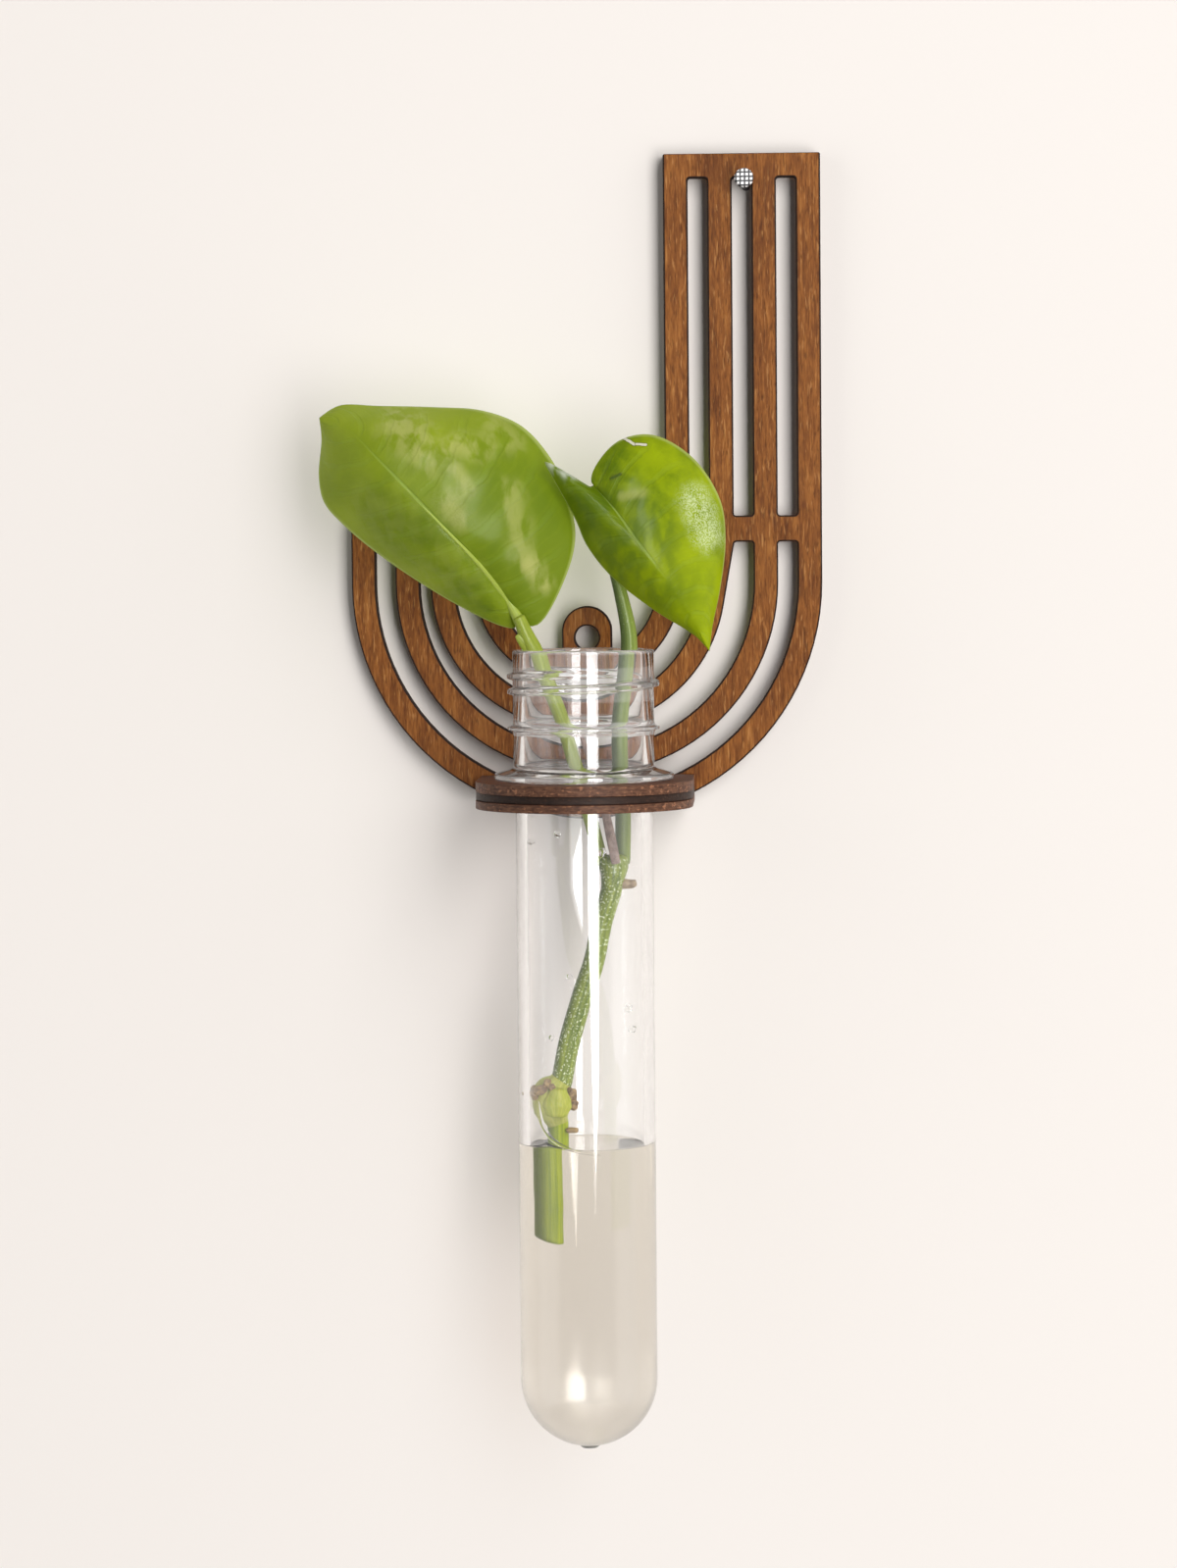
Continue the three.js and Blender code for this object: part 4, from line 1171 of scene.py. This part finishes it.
def nail_steel():
    """Bright head with a milled lattice whose grooves are painted dark as shade, on a shank painted dark as
    the shade under the head.
    """
    f = Finish("nail_steel")
    scratch = f.noise(1, f.stretched((2400, 2400, 2400)), 4)
    lattice_x = (f.part(f.coords(), "X") * (math.tau * HATCH)).wave()
    lattice_z = (f.part(f.coords(), "Z") * (math.tau * HATCH)).wave()
    groove_relief_and_shade = lattice_x.smaller(lattice_z).band(0.1, 0.45)
    is_head = f.part(f.coords(), "Y").band(HEAD_BACK + HEAD_BLEND, HEAD_BACK - HEAD_BLEND)
    # Painted shade: dark in the lattice's grooves, and the whole shank dark as the shade beneath the head
    colour = f.mix(groove_relief_and_shade, rgb(48, 48, 50), rgb(240, 240, 238))
    colour = f.mix(is_head, rgb(34, 32, 30), colour)
    normal = f.bump(groove_relief_and_shade + scratch * 0.3, 0.0002, 0.8)
    rough = 0.45 + scratch * 0.2
    return f.done(f.surface(Base_Color=colour, Metallic=is_head * 0.25, Roughness=rough, Normal=normal))


# Stage

CAMERA_PLACE = Vector((0.0043, -0.780, -0.0656))
CAMERA_AZIMUTH = math.radians(2.45)
CAMERA_ELEVATION = math.radians(3.345)
CAMERA_ROLL = math.radians(-0.496)
FRAME_LONG_SIDE = 1599
FOCAL_PIXELS = 4298
SENSOR = 36.0
CLIP = (0.01, 50)


def make_camera():
    """The viewer's place, turned a little and tipped, looking slightly down at the tube."""
    camera = bpy.data.cameras.new("camera")
    camera.sensor_width = SENSOR
    camera.lens = SENSOR * FOCAL_PIXELS / FRAME_LONG_SIDE
    camera.clip_start, camera.clip_end = CLIP
    holder = put_in_scene("camera", camera)
    level = math.cos(CAMERA_ELEVATION)
    back = Vector((
        math.sin(CAMERA_AZIMUTH) * level, -math.cos(CAMERA_AZIMUTH) * level, math.sin(CAMERA_ELEVATION),
    ))
    right = Vector((math.cos(CAMERA_AZIMUTH), math.sin(CAMERA_AZIMUTH), 0))
    up = back.cross(right)
    turned_right = right * math.cos(CAMERA_ROLL) + up * math.sin(CAMERA_ROLL)
    turned_up = up * math.cos(CAMERA_ROLL) - right * math.sin(CAMERA_ROLL)
    place = Matrix((turned_right, turned_up, back)).transposed().to_4x4()
    place.translation = CAMERA_PLACE
    holder.matrix_world = place
    bpy.context.scene.camera = holder


def sheet_of(name, corners, material):
    """A flat sheet of the stage."""
    mesh = bpy.data.meshes.new(name)
    mesh.from_pydata(corners, [], [tuple(range(len(corners)))])
    mesh.materials.append(material)
    sheet = put_in_scene(name, mesh)
    return sheet


WALL_COLOUR = rgb(243, 239, 233)
WALL_GAP = 0.0004
WALL_HALF = 0.9
WALL_TOP = 1.5
FLOOR_Z = TUBE_BOTTOM * MM - 1.75
FLOOR_HALF = 2.5


def make_wall():
    """A pale panel right behind the plate, clear when seen from behind, and a floor well below."""
    f = Finish("wall_paint")
    paint = f.surface(Base_Color=WALL_COLOUR, Roughness=0.9, Specular_IOR_Level=0.1)
    clear = f.node("BsdfTransparent")
    behind = f.node("NewGeometry", output="Backfacing")
    material = f.done(f.node("MixShader", {}, {0: behind, 1: paint, 2: clear}))
    wall = sheet_of("wall", [
        (-WALL_HALF, WALL_GAP, FLOOR_Z), (WALL_HALF, WALL_GAP, FLOOR_Z),
        (WALL_HALF, WALL_GAP, WALL_TOP), (-WALL_HALF, WALL_GAP, WALL_TOP),
    ], material)
    floor_paint = Finish("floor_paint")
    floor_finish = floor_paint.done(floor_paint.surface(Base_Color=WALL_COLOUR, Roughness=0.9))
    corners = ((-1, -1), (1, -1), (1, 1), (-1, 1))
    floor = sheet_of("floor", [(x * FLOOR_HALF, y * FLOOR_HALF, FLOOR_Z) for x, y in corners], floor_finish)
    for sheet in (wall, floor):
        sheet.visible_diffuse = False
        sheet.visible_shadow = False


KEY_PLACE = (1.26, -2.175, 0.285)
KEY_AIM = (-0.02, 0, -0.09)
KEY_SIZE = (1.35, 4.5)
KEY_POWER = 93.0
KEY_COLOUR = (1.0, 0.97, 0.97)


def make_key_lamp():
    """The tall soft lamp from the right, which shiny and clear pieces don't mirror."""
    lamp = bpy.data.lights.new("key", "AREA")
    lamp.shape = "RECTANGLE"
    lamp.size, lamp.size_y = KEY_SIZE
    lamp.energy = KEY_POWER
    lamp.color = KEY_COLOUR
    holder = put_in_scene("key", lamp)
    holder.location = KEY_PLACE
    holder.rotation_mode = "QUATERNION"
    holder.rotation_quaternion = (Vector(KEY_AIM) - Vector(KEY_PLACE)).to_track_quat("-Z", "Y")
    holder.visible_camera = False
    holder.visible_glossy = False
    holder.visible_transmission = False


PANE_REACH = 0.63
# Corners of the panes: degrees from straight ahead of the tube, and heights in metres
LEFT_PANE = [(-23, -0.186), (-3, -0.198), (-3, 0.6), (-23, 0.6)]
RIGHT_PANE = [(8, -0.2), (13, -0.262), (16, -0.288), (22, -0.262), (26, -0.2), (26, 0.6), (8, 0.6)]


def make_pane(name, corners, strength):
    """A bright pane in front of the tube that only shows in what shines or bends light."""
    places = []
    for angle, height in corners:
        right = PANE_REACH * math.tan(math.radians(angle))
        places.append((TUBE_X * MM + right, TUBE_Y * MM - PANE_REACH, height))
    f = Finish(name)
    pane = sheet_of(name, places, f.done(f.node("Emission", {}, {"Strength": strength})))
    pane.visible_camera = False
    pane.visible_diffuse = False
    pane.visible_shadow = False


RAYS = ("Camera", "Glossy", "Transmission")
ROOM_COLOUR = (1.0, 0.985, 0.985, 1.0)
ROOM_LIGHT = 0.06
SIDE_LIGHT = 1.15
SIDE_BAND = (0.62, 0.82)
WALL_LIGHT = 0.8
WALL_BAND = (-0.12, 0.12)
MIRRORED_LIGHT = 0.7
SEEN_LIGHT = 0.9
PANE_LIGHT = 13.0
SIDE_PANE_LIGHT = 3.2


def make_room_light():
    """Even light: dim ahead, bright from the sides, and its own strength in mirrors and for the view."""
    world = bpy.data.worlds.new("room")
    bpy.context.scene.world = world
    room = Finish("room", world)
    toward = room.coords("Generated")
    beside = room.part(toward, "X").size().band(*SIDE_BAND, ROOM_LIGHT, SIDE_LIGHT)
    is_behind = room.part(toward, "Y").band(*WALL_BAND)
    around = beside * (1 - is_behind) + is_behind * WALL_LIGHT
    seen, shiny, bent = [room.node("LightPath", output=f"Is {kind} Ray") for kind in RAYS]
    mirrored = shiny.larger(bent)
    plain = around * (1 - mirrored) * (1 - seen)
    strength = plain + mirrored * around.larger(MIRRORED_LIGHT) + seen * SEEN_LIGHT
    room.done(room.node("Background", {}, {"Color": ROOM_COLOUR, "Strength": strength}))


# The whole

PLATE_EASE = 0.29
SHELF_EASE = 0.12
# How far the middle layer's rims are darkened: partly char, partly painted shade of the groove
CHAR_AND_GROOVE_SHADE = 0.85


def make_stand():
    """The plate and the shelf's three layers, the middle one darkened all over: partly its charred cut,
    partly painted shade for the groove where it is set back.
    """
    sharp_piece("plate_sheet", "back_plate", plate_wood(), "stand", PLATE_EASE)
    dark_wood = shelf_wood("shelf_wood", 0.0)
    charred_shaded_wood = shelf_wood("charred_shaded_shelf_wood", CHAR_AND_GROOVE_SHADE)
    for layer, wood in (("upper", dark_wood), ("middle", charred_shaded_wood), ("lower", dark_wood)):
        sharp_piece("shelf_sheet_" + layer, "shelf_" + layer, wood, "stand", SHELF_EASE)


def paint_nail():
    """The nail keeps its solid's own mesh and takes a finish."""
    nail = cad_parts["wall_nail"]
    nail.data.materials.clear()
    nail.data.materials.append(nail_steel())


bpy.context.scene.view_settings.view_transform = "Standard"
make_camera()
make_wall()
make_room_light()
make_key_lamp()
make_pane("left_pane", LEFT_PANE, SIDE_PANE_LIGHT)
make_pane("right_pane", RIGHT_PANE, PANE_LIGHT)
make_stand()
make_tube(clear_finish("clear_tube", TUBE_TINT, TUBE_INDEX, TUBE_SHADE, RIDGES, TUBE_SOFTEST))
make_water(clear_finish("water", WATER_PAINTED_SHADE, WATER_INDEX, WATER_SHADE))
make_seam(clear_finish("seam_water", SEAM_TINT, SEAM_INDEX, NO_SHADE))
make_lower_stems()
make_leaves()
drop_finish = clear_finish("drop_water", DROP_TINT, DROP_INDEX, NO_SHADE)
make_lumps("droplets", DROPS, drop_finish, "tube", sides=20)
paint_nail()
